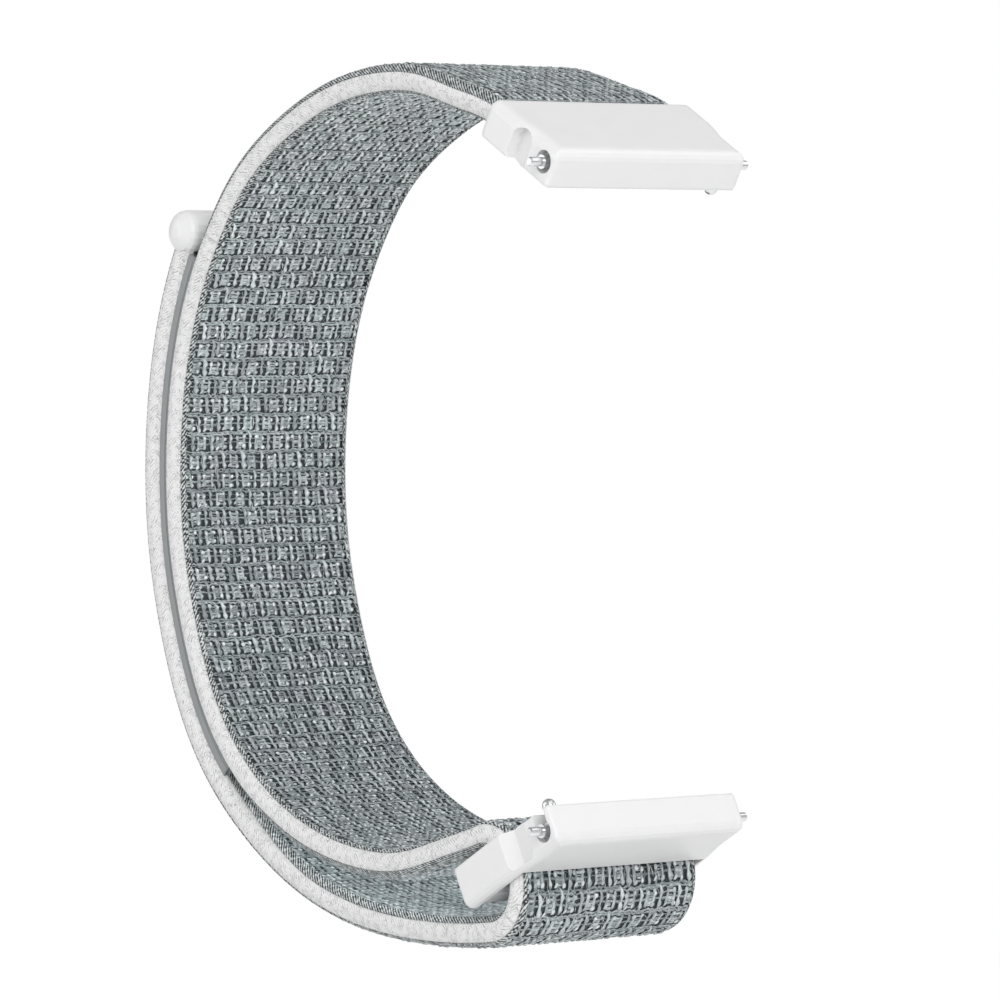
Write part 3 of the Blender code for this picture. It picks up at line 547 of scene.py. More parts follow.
# %% Yarn materials
def new_material(name, roughness, metallic=0.0):
    material = bpy.data.materials.new(name)
    material.use_nodes = True
    shader = material.node_tree.nodes["Principled BSDF"]
    shader.inputs["Roughness"].default_value = roughness
    shader.inputs["Metallic"].default_value = metallic
    print("material", name)
    return material, material.node_tree, shader


def attribute(tree, name):
    node = tree.nodes.new("ShaderNodeAttribute")
    node.attribute_name = name
    return node


def add_group(tree, node_group, *names):
    """A shared effect in a material, fed with the stored attributes of these names."""
    node = tree.nodes.new("ShaderNodeGroup")
    node.node_tree = node_group
    for name in names:
        tree.links.new(attribute(tree, name).outputs["Vector"], node.inputs[name.capitalize()])
    return node


def bump(tree, shader, height, distance, strength):
    node = tree.nodes.new("ShaderNodeBump")
    node.inputs["Strength"].default_value = strength
    node.inputs["Distance"].default_value = distance
    tree.links.new(height, node.inputs["Height"])
    tree.links.new(node.outputs["Normal"], shader.inputs["Normal"])


# %% Fabric colour, with a painted glow in the wedge
WEDGE_PAINTED_GLOW = 0.50
YARN_RELIEF = 0.03 * MM
COOL = (0.95, 1.02, 1.00)
WARM = (1.01, 0.98, 1.02)


def shaded(colour, shade):
    return tuple(a * b for a, b in zip(colour, shade))


def colour_fabric(tree, shader, colour, height):
    """Colour and relief, and a painted glow in the wedge that stands in for light bouncing there between
    two grey faces.
    """
    tree.links.new(colour, shader.inputs["Base Color"])
    tree.links.new(colour, shader.inputs["Emission Color"])
    share = math_node(tree, "MULTIPLY", attribute(tree, "wedge").outputs["Fac"], WEDGE_PAINTED_GLOW)
    tree.links.new(share, shader.inputs["Emission Strength"])
    bump(tree, shader, height, YARN_RELIEF, 0.6)


def yarn_material(name, dark, light, twist=1.2, unevenness=0.5):
    material, tree, shader = new_material(name, 0.62)
    shader.inputs["Sheen Weight"].default_value = 0.15
    group = add_group(tree, yarn_group, "yarn", "flat")
    group.inputs["Twist per mm"].default_value = twist
    group.inputs["Unevenness"].default_value = unevenness
    cool = colour_mix(tree, group.outputs["Tone"], shaded(dark, COOL), shaded(light, COOL))
    warm = colour_mix(tree, group.outputs["Tone"], shaded(dark, WARM), shaded(light, WARM))
    colour = colour_mix(tree, group.outputs["Tint"], cool, warm)
    colour_fabric(tree, shader, colour, group.outputs["Height"])
    return material


rib_yarn = yarn_material("rib yarn", (0.24, 0.27, 0.28), (0.92, 0.97, 0.975))
weft_yarn = yarn_material("weft yarn", (0.20, 0.23, 0.24), (0.80, 0.86, 0.87), twist=2.0)
thin_yarn = yarn_material("thin yarn", (0.17, 0.20, 0.21), (0.80, 0.86, 0.87), twist=2.0)
knuckle_yarn = yarn_material("knuckle yarn", (0.52, 0.56, 0.565), (1.0, 1.0, 1.0), unevenness=0.9)
float_yarn = yarn_material("float yarn", (0.22, 0.25, 0.255), (0.88, 0.94, 0.95), twist=2.0)
loose_yarn = yarn_material("loose filaments", (0.22, 0.26, 0.27), (0.95, 0.97, 0.97), unevenness=1.0)
# The ground's dark colour is painted shade for the depths between the yarns.
shade_ground_yarn = yarn_material("ground yarn in painted shade", (0.020, 0.027, 0.03), (0.065, 0.078, 0.085))

border_yarn, tree, shader = new_material("whipped border", 0.62)
stitch = add_group(tree, whip_group, "flat")
# The dark end of the border colour is painted shade between the stitches; clumps and specks vary it at
# random.
colour = colour_mix(tree, stitch.outputs["Light"], (0.015, 0.020, 0.024), (0.66, 0.70, 0.70))
colour_fabric(tree, shader, colour, stitch.outputs["Light"])


# %% [markdown]
# ## The ribbed weave
# The pattern repeats every 1.7 mm down the strap and every third column across it. In each repeat one
# column in three carries a light rib that floats on top, while the weft floats over the two columns
# beside it and pins them down to small bright knuckles, an upper pair and a lower pair. The next
# repeat moves the rib one column over, so the ribs climb the strap in steps. A flat band of weft
# closes each repeat. A dark ground, painted shade for the depth of the weave, shows through the slots
# between rib and knuckles.

# %% Weave sizes
REPEATS = 138
REPEAT = ROUTE_END / REPEATS
CYCLE = 3
SHOW_COLUMNS = 26
BACK_COLUMNS = 28
COLUMN = 0.683 * MM
BAND_WHITE = (8.92 * MM, 10.73 * MM)
TAIL_WHITE = (9.19 * MM, 11.07 * MM)
BAND_SHUT = (44 * MM, 52 * MM)
BAND_OPENS = (92 * MM, 102 * MM)
TAIL_SHUT = (168 * MM, 182 * MM)
START_CREEP = 0.15 * MM
STOP_CREEP = 0.64 * MM
LOWER_ROW = 0.46
RELIEF = {"show": 0.5, "back": 0.3}
RIB, LEFT_KNUCKLE, RIGHT_KNUCKLE = range(CYCLE)


def columns_on(face):
    return SHOW_COLUMNS if face == "show" else BACK_COLUMNS


def eased(value, start, stop):
    way = np.clip((value - start) / (stop - start), 0, 1)
    return way * way * (3 - 2 * way)


def white_limits(along):
    """Across positions where the white edge starts and stops.

    The edge creeps round where tail and band lie on each other.
    """
    turned = eased(along, FOLD_START, FOLD_STOP)
    tail_shut = eased(along, *TAIL_SHUT)
    shut = eased(along, *BAND_SHUT) - eased(along, *BAND_OPENS) + tail_shut
    start, stop = (a + (b - a) * turned for a, b in zip(BAND_WHITE, TAIL_WHITE))
    return start + START_CREEP * tail_shut, stop + STOP_CREEP * shut


def spread(share, along, face):
    """Across position of a share of the grey face's half width."""
    start, stop = white_limits(along)
    return share * (start if face == "show" else HALF_OUTLINE - stop)


# %% One short strand in every cell of a kind
STRAND_SIDES = 6
SLANT = 0.05


def cell_strands(first, last, face, kind, shape, across, wander=0.06, uneven=0.18, keep=1.0):
    """Strands drawn from rows of (repeats down, columns over, height, half width, half height) in mm."""
    columns = columns_on(face)
    row, column = np.meshgrid(np.arange(first, last), np.arange(columns), indexing="ij")
    chosen = ((row + column) % CYCLE == kind) & (draw.random(row.shape) < keep)
    row, column = row[chosen][:, None], column[chosen][:, None]
    shape = np.array(shape)
    shift = draw.normal(0, wander * MM, (2, len(row), 1))
    slant = draw.normal(0, SLANT, (len(row), 1))
    size = draw.normal(1, uneven, (len(row), 1))
    centres = np.zeros((len(row), len(shape), 3))
    down = (row + shape[:, 0]) * REPEAT + shift[0]
    over = shift[1] + slant * ((shape[:, 0] - shape[:, 0].mean()) * REPEAT if across == 0 else 0)
    turn = slant * (shape[:, 1] - shape[:, 1].mean()) * COLUMN if across == 1 else 0
    centres[..., 1] = np.clip(down + turn, 0, ROUTE_END)
    share = 2 * (column + 0.5 + shape[:, 1]) / columns - 1
    centres[..., 0] = spread(share, centres[..., 1], face) + over
    centres[..., 2] = shape[:, 2] * RELIEF[face] * MM
    thickness = shape[:, 4] * RELIEF[face] * MM
    return strands(centres, across, shape[:, 3] * MM * size, thickness, face, STRAND_SIDES)


# %% Ribs
RIB_SHAPE = (
    (-0.38, -0.50, -0.30, 0.08, 0.07), (-0.30, -0.34, -0.18, 0.15, 0.10), (-0.20, -0.14, -0.12, 0.17, 0.12),
    (-0.11, -0.04, -0.12, 0.19, 0.13), (-0.02, 0.00, -0.04, 0.24, 0.17), (0.08, 0.00, -0.11, 0.19, 0.13),
    (0.18, 0.01, -0.19, 0.13, 0.09), (0.28, 0.01, -0.19, 0.14, 0.10), (0.38, 0.02, -0.10, 0.21, 0.14),
    (0.47, 0.03, -0.04, 0.24, 0.17), (0.56, 0.05, -0.14, 0.18, 0.12), (0.64, 0.07, -0.25, 0.10, 0.08),
    (0.70, 0.08, -0.34, 0.06, 0.05),
)
SHANK_SHAPE = (
    (-0.16, -0.04, -0.34, 0.09, 0.05), (-0.06, -0.02, -0.22, 0.17, 0.07), (0.12, 0.02, -0.23, 0.15, 0.07),
    (0.30, 0.03, -0.21, 0.18, 0.07), (0.50, 0.05, -0.22, 0.17, 0.07), (0.62, 0.08, -0.34, 0.09, 0.05),
)


def ribs(first, last, face):
    return [cell_strands(first, last, face, RIB, RIB_SHAPE, 0),
            cell_strands(first, last, face, LEFT_KNUCKLE, SHANK_SHAPE, 0),
            cell_strands(first, last, face, RIGHT_KNUCKLE, SHANK_SHAPE, 0)]


# %% Knuckles beside the ribs
NOMINAL_REPEAT = 1.7


def knuckle(down, over, lean, half_width, half_length):
    """A short bright grain of yarn; lean pushes its top and bottom sideways."""
    grain = []
    for way, swell in ((-1.0, 0.35), (-0.6, 0.85), (0.0, 1.0), (0.6, 0.85), (1.0, 0.35)):
        grain.append((down + way * half_length / NOMINAL_REPEAT, over - way * lean, -0.20 + 0.07 * swell,
                      half_width * swell, 0.11 * swell))
    return grain


def knuckles(first, last, face):
    upper_left = knuckle(-0.01, 0.02, 0.0, 0.20, 0.17)
    upper_right = knuckle(-0.01, 0.05, 0.0, 0.18, 0.16)
    lower_left = knuckle(LOWER_ROW + 0.03, 0.02, 0.18, 0.16, 0.17)
    lower_right = knuckle(LOWER_ROW, 0.05, 0.05, 0.19, 0.17)
    return [cell_strands(first, last, face, kind, shape, 0, uneven=0.16, keep=keep)
            for kind, shape, keep in ((LEFT_KNUCKLE, upper_left, 0.93), (RIGHT_KNUCKLE, upper_right, 0.93),
                                      (LEFT_KNUCKLE, lower_left, 0.85), (RIGHT_KNUCKLE, lower_right, 0.93))]


# %% Weft floats over each pair of knuckle columns
def float_shape(down, reach, half_width, height):
    """A strand lying across, from left of the first column to right of the next one."""
    middle = 0.5
    return [(down, middle + way * reach, height - 0.10 * abs(way) ** 3, half_width * swell, 0.10 * swell)
            for way, swell in ((-1.0, 0.3), (-0.7, 0.9), (0.0, 1.0), (0.7, 0.9), (1.0, 0.3))]


def floats(first, last, face):
    shapes = (float_shape(-0.21, 0.40, 0.16, -0.18), float_shape(0.0, 0.66, 0.11, -0.17),
              float_shape(0.13, 0.50, 0.05, -0.22),
              float_shape(0.24, 0.56, 0.14, -0.17), float_shape(0.36, 0.36, 0.12, -0.18),
              float_shape(0.49, 0.46, 0.10, -0.21))
    return [cell_strands(first, last, face, LEFT_KNUCKLE, shape, 1, wander=0.035) for shape in shapes]


# %% Loose filaments
FILAMENTS_PER_CELL = 3.5
FILAMENT_POINTS = 5
FILAMENT_LEAN = (-0.25, 0.45)
FILAMENT_HALF_LENGTH = (0.2, 0.5)
FILAMENT_HALF_WIDTH = (0.018, 0.045)
FILAMENT_REACH = 0.97


def filaments(first, last, face):
    """Fine fibres that have worked loose and lie slantwise on top."""
    count = int((last - first) * columns_on(face) / CYCLE * FILAMENTS_PER_CELL)
    way = np.linspace(-1, 1, FILAMENT_POINTS)
    middle = draw.uniform(first, last, (count, 1)) * REPEAT
    lean = draw.normal(*FILAMENT_LEAN, (count, 1))
    reach = draw.uniform(*FILAMENT_HALF_LENGTH, (count, 1)) * MM
    centres = np.zeros((count, FILAMENT_POINTS, 3))
    centres[..., 1] = np.clip(middle + reach * np.cos(lean) * way, 0, ROUTE_END)
    share = draw.uniform(-FILAMENT_REACH, FILAMENT_REACH, (count, 1))
    centres[..., 0] = spread(share, centres[..., 1], face) - reach * np.sin(lean) * way
    centres[..., 2] = draw.uniform(0.0, 0.02, (count, 1)) * MM - 0.06 * MM * way**2
    width = draw.uniform(*FILAMENT_HALF_WIDTH, (count, 1)) * MM * (1.15 - way**2)
    return [strands(centres, 0, width, width, face, sides=4)]


# %% Yarns that cross the whole face
CROSSING_WANDER = 0.05 * MM
SWELL_SPREAD = 0.3
SWELL_LIMITS = (0.5, 1.6)


def crossings(first, last, face, offset, half_width, height, half_height, arch, samples=2):
    """One yarn across each repeat, at a share of the repeat, arched up between the columns."""
    steps = columns_on(face) * samples
    rows = np.arange(first, last)[:, None] + offset
    along = rows * REPEAT * np.ones(steps + 1)
    centres = np.zeros((*along.shape, 3))
    centres[..., 1] = along + draw.normal(0, CROSSING_WANDER, along.shape)
    centres[..., 0] = spread(np.linspace(-1, 1, steps + 1), along, face)
    centres[..., 2] = RELIEF[face] * (height + arch * np.cos(2 * math.pi * np.arange(steps + 1) / samples))
    swell = half_width * np.clip(draw.normal(1, SWELL_SPREAD, along.shape), *SWELL_LIMITS)
    return strands(centres, 1, swell, RELIEF[face] * half_height, face, sides=4)


def wefts(first, last, face):
    return [crossings(first, last, face, offset, 0.10 * MM, height * MM, 0.08 * MM, 0.05 * MM, samples=3)
            for offset, height in ((0.68, -0.17), (0.79, -0.15))]


def thin_bars(first, last, face):
    return [crossings(first, last, face, offset, half_width * MM, -0.24 * MM, 0.05 * MM, 0.0)
            for offset, half_width in ((0.0, 0.04), (0.235, 0.10))]


# %% Dark ground under the strands, painted shade for the depth of the weave
GROUND_DEPTH = {"show": 0.18 * MM, "back": 0.09 * MM}
GROUND_POINTS = 40
GROUND_CHANGE = 9.5 * MM
GROUND_UNEVEN = 0.02


def ground(first, last):
    """A closed sheet just below the strands, with a little uneven depth; its dark finish is painted shade.
    """
    along = stations(first, last, REPEAT / 3)
    across = np.linspace(-HALF_OUTLINE, HALF_OUTLINE, GROUND_POINTS + 1)[:-1]
    flat = np.zeros((len(along), GROUND_POINTS, 3))
    flat[..., 0] = across
    flat[..., 1] = along[:, None]
    depth = np.where(np.abs(across) < GROUND_CHANGE, GROUND_DEPTH["show"], GROUND_DEPTH["back"])
    flat[..., 2] = -depth + draw.uniform(-GROUND_UNEVEN, GROUND_UNEVEN, flat.shape[:2]) * MM
    return plain_strip(flat, "show")


# %% Whipped borders
BORDERS = {"show": (0.04 * MM, -0.46 * MM), "back": (-0.04 * MM, 0.95 * MM)}
BORDER_STEP = 0.3 * MM
BORDER_OUTSIDE = np.linspace(0, 1, 7)
BORDER_INSIDE = np.linspace(0.85, 0.15, 3)
BORDER_RISE, BORDER_SINK, BORDER_DEPTH = 0.05 * MM, 0.01 * MM, 0.1 * MM


def border(first, last, face):
    """A low rounded strip of slanting stitches that whips the grey weave to the white edge."""
    along = stations(first, last, BORDER_STEP)
    edge = white_limits(along)[face == "back"][:, None]
    near, far = BORDERS[face]
    way = np.concatenate([BORDER_OUTSIDE, BORDER_INSIDE])
    rise = BORDER_RISE * np.sin(math.pi * BORDER_OUTSIDE) ** 0.6 - BORDER_SINK
    rise = np.concatenate([rise, np.full(len(BORDER_INSIDE), -BORDER_DEPTH)])
    sides = []
    for side in (-1, 1):
        flat = np.zeros((len(along), len(way), 3))
        flat[..., 0] = side * (edge + near + (far - near) * way)
        flat[..., 1] = along[:, None]
        flat[..., 2] = rise
        sides.append(plain_strip(flat, "show"))
    return sides


# %% [markdown]
# ## White edges
# Each long edge is knitted in white yarn, a narrow rounded strip that shows on the wrist side of the
# band and round the edge. It is a fine, flat knit, so it is one curved strip whose points are pushed
# in and out by a small pattern, and the finish paints the grooves between the finer yarns as grey lines of
# shade.

# %% White edge strips
EDGE_POINTS = 13
EDGE_STEP = 0.16 * MM
EDGE_THICKNESS = 0.30 * MM
EDGE_RISE = 0.06 * MM
EDGE_SINK = 0.05 * MM
EDGE_SQUARENESS = 6
KNIT_PITCH = 0.62 * MM
KNIT_LEAN = 1.2
KNIT_FOLDS = 4
KNIT_HEIGHT = 0.018 * MM
KNIT_UNEVEN = 0.006 * MM


def white_edge(first, last, side):
    """Closed strip round one edge: a knitted outer skin and a plain inner one."""
    along = stations(first, last, EDGE_STEP)
    start, stop = white_limits(along)
    share = np.linspace(0, 1, EDGE_POINTS)
    across = start[:, None] + (stop - start)[:, None] * share
    crown = np.sqrt(np.clip(1 - (2 * share - 1) ** EDGE_SQUARENESS, 0, 1))
    lean = np.abs(share * KNIT_FOLDS % 1 - 0.5) * KNIT_LEAN
    stitch = np.sin(2 * math.pi * (along[:, None] / KNIT_PITCH + lean))
    height = crown * EDGE_RISE - EDGE_SINK + KNIT_HEIGHT * stitch * np.sin(math.pi * share)
    height = height + draw.normal(0, KNIT_UNEVEN, height.shape)
    outer = np.stack([side * across, along[:, None] + 0 * across, height], axis=-1)
    inner = outer[:, ::-1].copy()
    inner[..., 2] = -EDGE_THICKNESS
    flat = np.concatenate([outer, inner], axis=1)
    return plain_strip(flat, "show")


# %% Knit group: thin broken chevron lines of painted shade in the knit's grooves
EDGE_MIDDLE = 9.95
WALE_WIDTH = 0.45
WALE_CLIMB, WAVER_CLIMB = 1.1, 1.6
WAVER_SCALE = 1.6
LINE_SHARPNESS = 2.4
BREAK_SCALE, BREAK_GAIN, BREAK_LOSS, BREAK_FLOOR = 1.5, 5.0, -2.0, 0.15
knit_group, entry, leave = new_group(
    "fine knit", [("Flat", VECTOR, None), ("Stitches per mm", FLOAT, 2.9), ("Waver", FLOAT, 1.1)],
    [("Mark", FLOAT), ("Height", FLOAT)],
)
calc = partial(math_node, knit_group)
flat = entry.outputs["Flat"]
flat_place = knit_group.nodes.new("ShaderNodeSeparateXYZ")
knit_group.links.new(flat, flat_place.inputs[0])
waver = calc("SUBTRACT", noise_node(knit_group, flat, WAVER_SCALE, 3.0), 0.5)
offset = calc("MULTIPLY", waver, entry.outputs["Waver"])
reach = calc("ABSOLUTE", flat_place.outputs["X"])
middle = calc("SUBTRACT", reach, EDGE_MIDDLE)
wale = calc("PINGPONG", calc("ADD", middle, offset), WALE_WIDTH)
climb = calc("MULTIPLY", offset, WAVER_CLIMB)
climb = calc("MULTIPLY_ADD", wale, WALE_CLIMB, climb)
course = calc("ADD", flat_place.outputs["Y"], climb)
course = calc("MULTIPLY", course, entry.outputs["Stitches per mm"])
wave = calc("SINE", calc("MULTIPLY", course, 2 * math.pi))
line = calc("POWER", calc("MULTIPLY_ADD", wave, 0.5, 0.5), LINE_SHARPNESS)
kept = noise_node(knit_group, flat, BREAK_SCALE, 2.0)
kept = calc("MULTIPLY_ADD", kept, BREAK_GAIN, BREAK_LOSS)
kept = calc("MINIMUM", calc("MAXIMUM", kept, BREAK_FLOOR), 1.0)
knit_group.links.new(calc("MULTIPLY", line, kept), leave.inputs["Mark"])
knit_group.links.new(calc("SUBTRACT", 1.0, line), leave.inputs["Height"])

# %% White yarn material
white_yarn, tree, shader = new_material("white edge yarn", 0.7)
group = add_group(tree, knit_group, "flat")
# The grey lines are painted shade in the grooves between the stitches.
colour = colour_mix(tree, group.outputs["Mark"], (0.85, 0.85, 0.85), (0.42, 0.42, 0.42))
tree.links.new(colour, shader.inputs["Base Color"])
bump(tree, shader, group.outputs["Height"], EDGE_RISE, 0.5)


# %% [markdown]
# ## Weaving the strap, stretch by stretch
# The band and the fold belong to one rigid body and the tail to another. A peeling strap bends in an
# even curve, but here band pieces ride the band while the root and tail pieces stay where they are
# drawn. The stretches are cut at whole repeats, so the weave runs on.

# %% Stretches in whole repeats
ROOT_BEFORE, ROOT_AFTER = 3.0 * MM, 6.0 * MM
ROOT_FIRST = round((FOLD_STOP - ROOT_BEFORE) / REPEAT)
ROOT_LAST = round((FOLD_STOP + ROOT_AFTER) / REPEAT)
BAND_THIRD = ROOT_FIRST // 3
TAPE_STOP = ROUTE_END - TAPE_END_SHARE * (ROUTE_END - FOLD_STOP)
TAPE_FIRST = round(TAPE_STOP / REPEAT)
stretches = {
    "band_upper": (0, BAND_THIRD),
    "band_middle": (BAND_THIRD, 2 * BAND_THIRD),
    "band_lower": (2 * BAND_THIRD, ROOT_FIRST),
    "root": (ROOT_FIRST, ROOT_LAST),
    "tail_lower": (ROOT_LAST, TAPE_FIRST),
    "tail_upper": (TAPE_FIRST, REPEATS),
}
stood_for = {"band_upper": "band", "band_lower": "fold", "tail_lower": "tail"}


def seat(piece, stretch):
    """Band pieces ride the band; root and tail pieces stay where they are drawn."""
    if stretch.startswith("band"):
        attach(piece, "band")
    else:
        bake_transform(piece)


# %% Weave every stretch
YARNS = (("ribs", ribs, rib_yarn), ("knuckles", knuckles, knuckle_yarn), ("floats", floats, float_yarn),
         ("filaments", filaments, loose_yarn), ("border", border, border_yarn), ("wefts", wefts, weft_yarn),
         ("thin_bars", thin_bars, thin_yarn))
for stretch, (first, last) in stretches.items():
    faces = ("show",) if stretch == "tail_upper" else ("show", "back")
    for name, make, finish in YARNS:
        parts = [part for face in faces for part in make(first, last, face)]
        seat(woven_piece(f"{stretch}_{name}", parts, finish), stretch)
    core = woven_piece(f"{stretch}_ground", [ground(first, last)], shade_ground_yarn)
    seat(core, stretch)
    if stretch in stood_for:
        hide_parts(f"{stood_for[stretch]}_webbing")
    for side, name in ((-1, "near"), (1, "far")):
        strip = [white_edge(first, last, side)]
        edge = woven_piece(f"{stretch}_white_edge_{name}", strip, white_yarn)
        seat(edge, stretch)
        if stretch in stood_for:
            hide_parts(f"{stood_for[stretch]}_selvedge_{name}")

# %% [markdown]
# ## Moulded plastic
# Connectors and pull tab are satin white mouldings. Their solids have the right shape and their own
# rounded edges, so they stay and only get a finish: a nearly even white with slightly uneven gloss.
# The grey tape is the same kind of plastic in another colour.

# %% Moulded plastic materials
MOTTLE_SCALE = 0.35
GLOSS_SWING, GLOSS_BASE = 0.10, 0.30
GRAIN_HEIGHT = 0.004 * MM
mould_group, entry, leave = new_group(
    "moulded skin", [("Place", VECTOR, None), ("Grain per mm", FLOAT, 6.0)],
    [("Mottle", FLOAT), ("Roughness", FLOAT), ("Height", FLOAT)],
)
scaled = mould_group.nodes.new("ShaderNodeVectorMath")
scaled.operation = "SCALE"
scaled.inputs["Scale"].default_value = 1 / MM
mould_group.links.new(entry.outputs["Place"], scaled.inputs[0])
grain = noise_node(mould_group, scaled.outputs[0], 1.0, 2.0)
mould_group.links.new(entry.outputs["Grain per mm"], grain.node.inputs["Scale"])
mottle = noise_node(mould_group, scaled.outputs[0], MOTTLE_SCALE, 2.0)
gloss = math_node(mould_group, "MULTIPLY_ADD", mottle, GLOSS_SWING, GLOSS_BASE)
mould_group.links.new(mottle, leave.inputs["Mottle"])
mould_group.links.new(gloss, leave.inputs["Roughness"])
mould_group.links.new(grain, leave.inputs["Height"])


def moulded_material(name, low, high):
    material, tree, shader = new_material(name, 0.35)
    group = add_group(tree, mould_group)
    coordinates = tree.nodes.new("ShaderNodeTexCoord")
    tree.links.new(coordinates.outputs["Object"], group.inputs["Place"])
    tree.links.new(colour_mix(tree, group.outputs["Mottle"], low, high), shader.inputs["Base Color"])
    tree.links.new(group.outputs["Roughness"], shader.inputs["Roughness"])
    bump(tree, shader, group.outputs["Height"], GRAIN_HEIGHT, 0.4)
    return material


white_plastic = moulded_material("white moulded plastic", (0.80, 0.80, 0.80), (0.84, 0.84, 0.84))
hook_plastic = moulded_material("grey hook tape", (0.24, 0.255, 0.26), (0.275, 0.29, 0.295))


# %% [markdown]
# ## Hook tape
# The tape's margin is welded down in a smooth bead that fills the step between tape and webbing. Its
# face carries rows of small plastic hooks, which sit in the loops of the band while the strap is shut.

# %% Welded margins
MARGIN_SECTION = np.array((
    (8.70, 0.85), (8.90, 0.93), (8.96, 1.15), (8.96, 1.60), (8.90, 2.00), (8.78, 2.12), (8.66, 2.06),
    (8.60, 1.80), (8.30, 1.32), (8.40, 1.10),
)) * MM
MARGIN_RINGS = 160
MARGIN_TUCK = 0.3 * MM


def margin(side):
    along = np.linspace(TAPE_STOP, ROUTE_END + MARGIN_TUCK, MARGIN_RINGS)
    flat = np.zeros((len(along), len(MARGIN_SECTION), 3))
    flat[..., 0] = side * MARGIN_SECTION[:, 0]
    flat[..., 1] = along[:, None]
    flat[..., 2] = MARGIN_SECTION[:, 1]
    return plain_strip(flat, "level")


for side, name in ((-1, "near"), (1, "far")):
    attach(woven_piece(f"tape_margin_{name}", [margin(side)], hook_plastic), "tail")

# %% Hooks, with every other column bent the other way
TAPE_LEVEL = 1.80 * MM
HOOK_ROWS = 90
HOOK_COLUMNS = 28
HOOK_HALF_SPREAD = 8.4 * MM
HOOKS_FROM = 0.4 * MM
HOOKLESS = 4.0 * MM
HOOK_RADIUS = 0.07 * MM
HOOK_BEND = np.array(((0.0, 0.0), (0.0, 0.16), (0.05, 0.25), (0.13, 0.26), (0.18, 0.18))) * MM

row, column = np.meshgrid(np.arange(HOOK_ROWS), np.arange(HOOK_COLUMNS), indexing="ij")
row, column = row.reshape(-1, 1), column.reshape(-1, 1)
centres = np.zeros((row.size, len(HOOK_BEND), 3))
centres[..., 0] = (2 * (column + 0.5) / HOOK_COLUMNS - 1) * HOOK_HALF_SPREAD
centres[..., 1] = TAPE_STOP + HOOKS_FROM + row * (ROUTE_END - TAPE_STOP - HOOKLESS) / HOOK_ROWS
centres[..., 1] += np.where(column % 2, 1, -1) * HOOK_BEND[:, 0]
centres[..., 2] = TAPE_LEVEL + HOOK_BEND[:, 1]
bent = strands(centres, 0, HOOK_RADIUS, HOOK_RADIUS, "level", sides=4, second=1)
hooks = woven_piece("tape_hooks", [bent], hook_plastic)
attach(hooks, "tail")

# %% [markdown]
# ## Polished steel
# The spring bars are turned steel with bright tips. Fine turning lines run round each pin.

# %% Steel material
TURNING_LINES = (200, 9000, 200)
DULL_SHARE = 0.86
STEEL_GLOSS_SWING = 0.14


def steel_material(name, colour, roughness):
    material, tree, shader = new_material(name, roughness, 1.0)
    coordinates = tree.nodes.new("ShaderNodeTexCoord")
    stretched = tree.nodes.new("ShaderNodeVectorMath")
    stretched.operation = "MULTIPLY"
    stretched.inputs[1].default_value = TURNING_LINES
    tree.links.new(coordinates.outputs["Object"], stretched.inputs[0])
    lines = noise_node(tree, stretched.outputs[0], 1.0, 2.0)
    dull = tuple(DULL_SHARE * c for c in colour)
    gloss = math_node(tree, "MULTIPLY_ADD", lines, STEEL_GLOSS_SWING, roughness - STEEL_GLOSS_SWING / 2)
    tree.links.new(colour_mix(tree, lines, dull, colour), shader.inputs["Base Color"])
    tree.links.new(gloss, shader.inputs["Roughness"])
    bump(tree, shader, lines, GRAIN_HEIGHT, 0.3)
    return material


bright_steel = steel_material("bright steel", (0.72, 0.73, 0.74), 0.16)
spring_wire = steel_material("spring wire", (0.45, 0.46, 0.47), 0.30)


# %% Dress the frame's own solids
def dress(node, finish):
    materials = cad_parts[node].data.materials
    materials.clear()
    materials.append(finish)
    print("dressed", node)


for node in ("upper_connector", "lower_connector", "tail_tab"):
    dress(node, white_plastic)
dress("hook_tape", hook_plastic)
dress("retaining_rod", bright_steel)
for end in ("upper", "lower"):
    for part in ("tube", "fixed_tip", "plunger", "lever"):
        dress(f"{end}_bar_{part}", bright_steel)
    dress(f"{end}_bar_spring", spring_wire)

# %% [markdown]
# ## Floor and light
# The photograph is a product shot on plain white. A pale floor lies below the strap, far enough down
# for the peeled tail to swing clear of it, and fades to white beyond the shadow. A broad light from
# the front right, a weaker fill, a rim and a top light give the soft shading. Floor and world are
# brightened only for the rays that show them, so the object is lit at a plain level.

# %% Floor material
WHITE = (1.0, 1.0, 1.0, 1.0)
FLOOR_COLOUR = (0.92, 0.92, 0.92, 1.0)
FLOOR_GLOW = 0.40
SHADOW_REACH = 90.0 * MM


def white_glow(tree):
    node = tree.nodes.new("ShaderNodeEmission")
    node.inputs["Color"].default_value = WHITE
    return node


floor_material, tree, shader = new_material("pale floor", 0.9)
shader.inputs["Base Color"].default_value = FLOOR_COLOUR
shader.inputs["Specular IOR Level"].default_value = 0.0
rays = tree.nodes.new("ShaderNodeLightPath")
seen = math_node(tree, "MAXIMUM", rays.outputs["Is Glossy Ray"], rays.outputs["Is Transmission Ray"])
seen = math_node(tree, "MAXIMUM", rays.outputs["Is Camera Ray"], seen)
near_glow = white_glow(tree)
tree.links.new(math_node(tree, "MULTIPLY", seen, FLOOR_GLOW), near_glow.inputs["Strength"])
lit = tree.nodes.new("ShaderNodeAddShader")
tree.links.new(shader.outputs[0], lit.inputs[0])
tree.links.new(near_glow.outputs[0], lit.inputs[1])

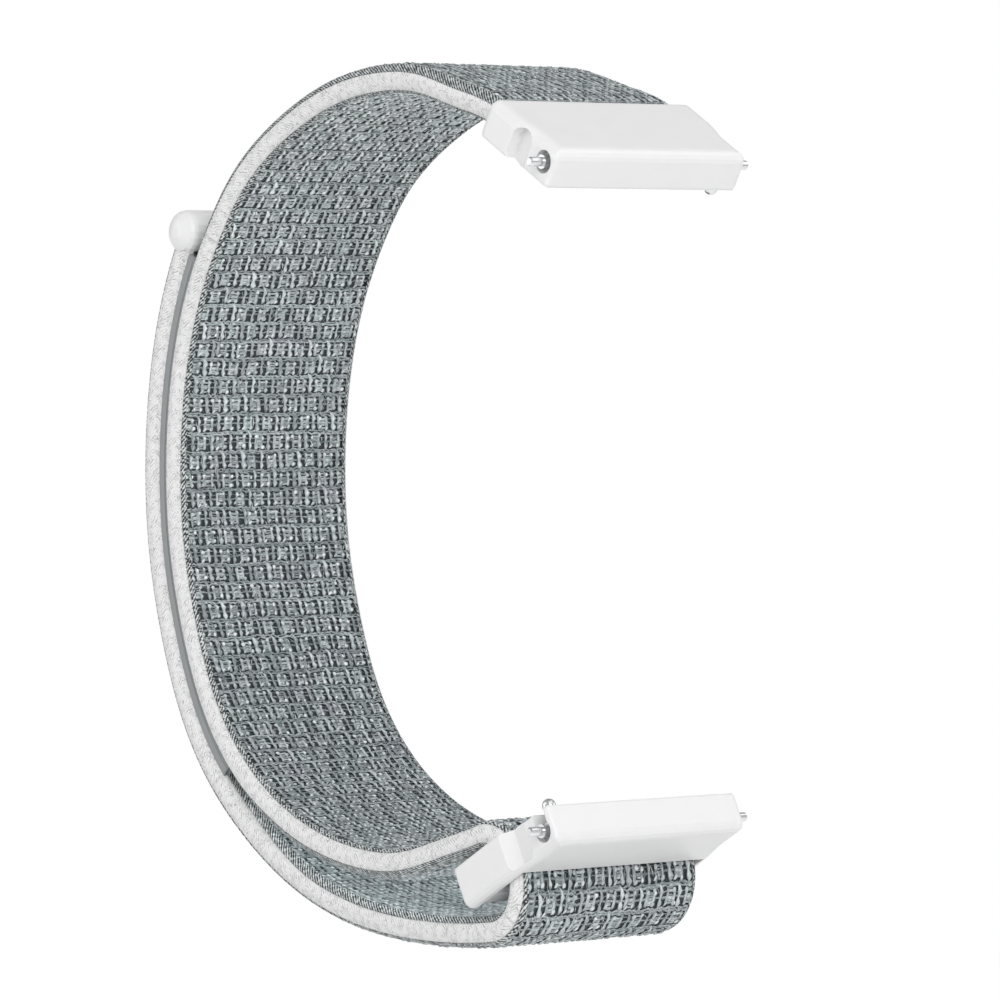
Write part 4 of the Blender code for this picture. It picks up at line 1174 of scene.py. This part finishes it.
# %% Fade of the floor into the white
coordinates = tree.nodes.new("ShaderNodeTexCoord")
distance = tree.nodes.new("ShaderNodeVectorMath")
distance.operation = "LENGTH"
tree.links.new(coordinates.outputs["Object"], distance.inputs[0])
outside = tree.nodes.new("ShaderNodeMapRange")
outside.interpolation_type = "SMOOTHSTEP"
outside.inputs["From Min"].default_value = SHADOW_REACH
outside.inputs["From Max"].default_value = 3 * SHADOW_REACH
tree.links.new(distance.outputs["Value"], outside.inputs["Value"])
fade = tree.nodes.new("ShaderNodeMixShader")
tree.links.new(math_node(tree, "MULTIPLY", outside.outputs["Result"], seen), fade.inputs["Fac"])
tree.links.new(lit.outputs[0], fade.inputs[1])
tree.links.new(white_glow(tree).outputs[0], fade.inputs[2])
tree.links.new(fade.outputs[0], tree.nodes["Material Output"].inputs["Surface"])

# %% Floor
PEEL_ROOM = 27.5 * MM
FLOOR_LEVEL = cad_box[0].z - PEEL_ROOM
FLOOR_HALF = 1.5
corners = [(x * FLOOR_HALF, y * FLOOR_HALF, FLOOR_LEVEL) for x, y in ((-1, -1), (1, -1), (1, 1), (-1, 1))]
mesh = bpy.data.meshes.new("floor")
mesh.from_pydata(corners, [], [(0, 1, 2, 3)])
mesh.materials.append(floor_material)
floor = bpy.data.objects.new("floor", mesh)
bpy.context.scene.collection.objects.link(floor)
print("floor", round(FLOOR_LEVEL / MM, 1), "mm up")

# %% World
AMBIENT = 0.50
world = bpy.data.worlds.new("studio")
bpy.context.scene.world = world
world.use_nodes = True
tree = world.node_tree
background = tree.nodes["Background"]
background.inputs["Color"].default_value = WHITE
rays = tree.nodes.new("ShaderNodeLightPath")
seen = math_node(tree, "MAXIMUM", rays.outputs["Is Camera Ray"], rays.outputs["Is Transmission Ray"])
tree.links.new(math_node(tree, "MULTIPLY_ADD", seen, 1.0 - AMBIENT, AMBIENT), background.inputs["Strength"])

# %% Lamps: name, direction, distance, size and power
AIM = Vector((-25.0, 0, 0)) * MM
LAMPS = (
    ("key", (0.85, -0.45, 0.42), 0.5, 0.35, 1.05),
    ("fill", (-0.6, -0.8, 0.2), 0.6, 0.5, 0.85),
    ("rim", (0.45, 0.60, 0.65), 0.5, 0.30, 0.30),
    ("top", (0.6, -0.35, 0.8), 0.6, 0.5, 0.45),
)
for name, direction, away, size, power in LAMPS:
    lamp = bpy.data.lights.new(name, "AREA")
    lamp.size = size
    lamp.energy = power
    light = bpy.data.objects.new(name, lamp)
    light.location = AIM + Vector(direction).normalized() * away
    light.rotation_euler = (AIM - light.location).to_track_quat("-Z", "Y").to_euler()
    bpy.context.scene.collection.objects.link(light)
print("lamps:", len(LAMPS))

# %% View settings
bpy.context.scene.view_settings.view_transform = "Standard"
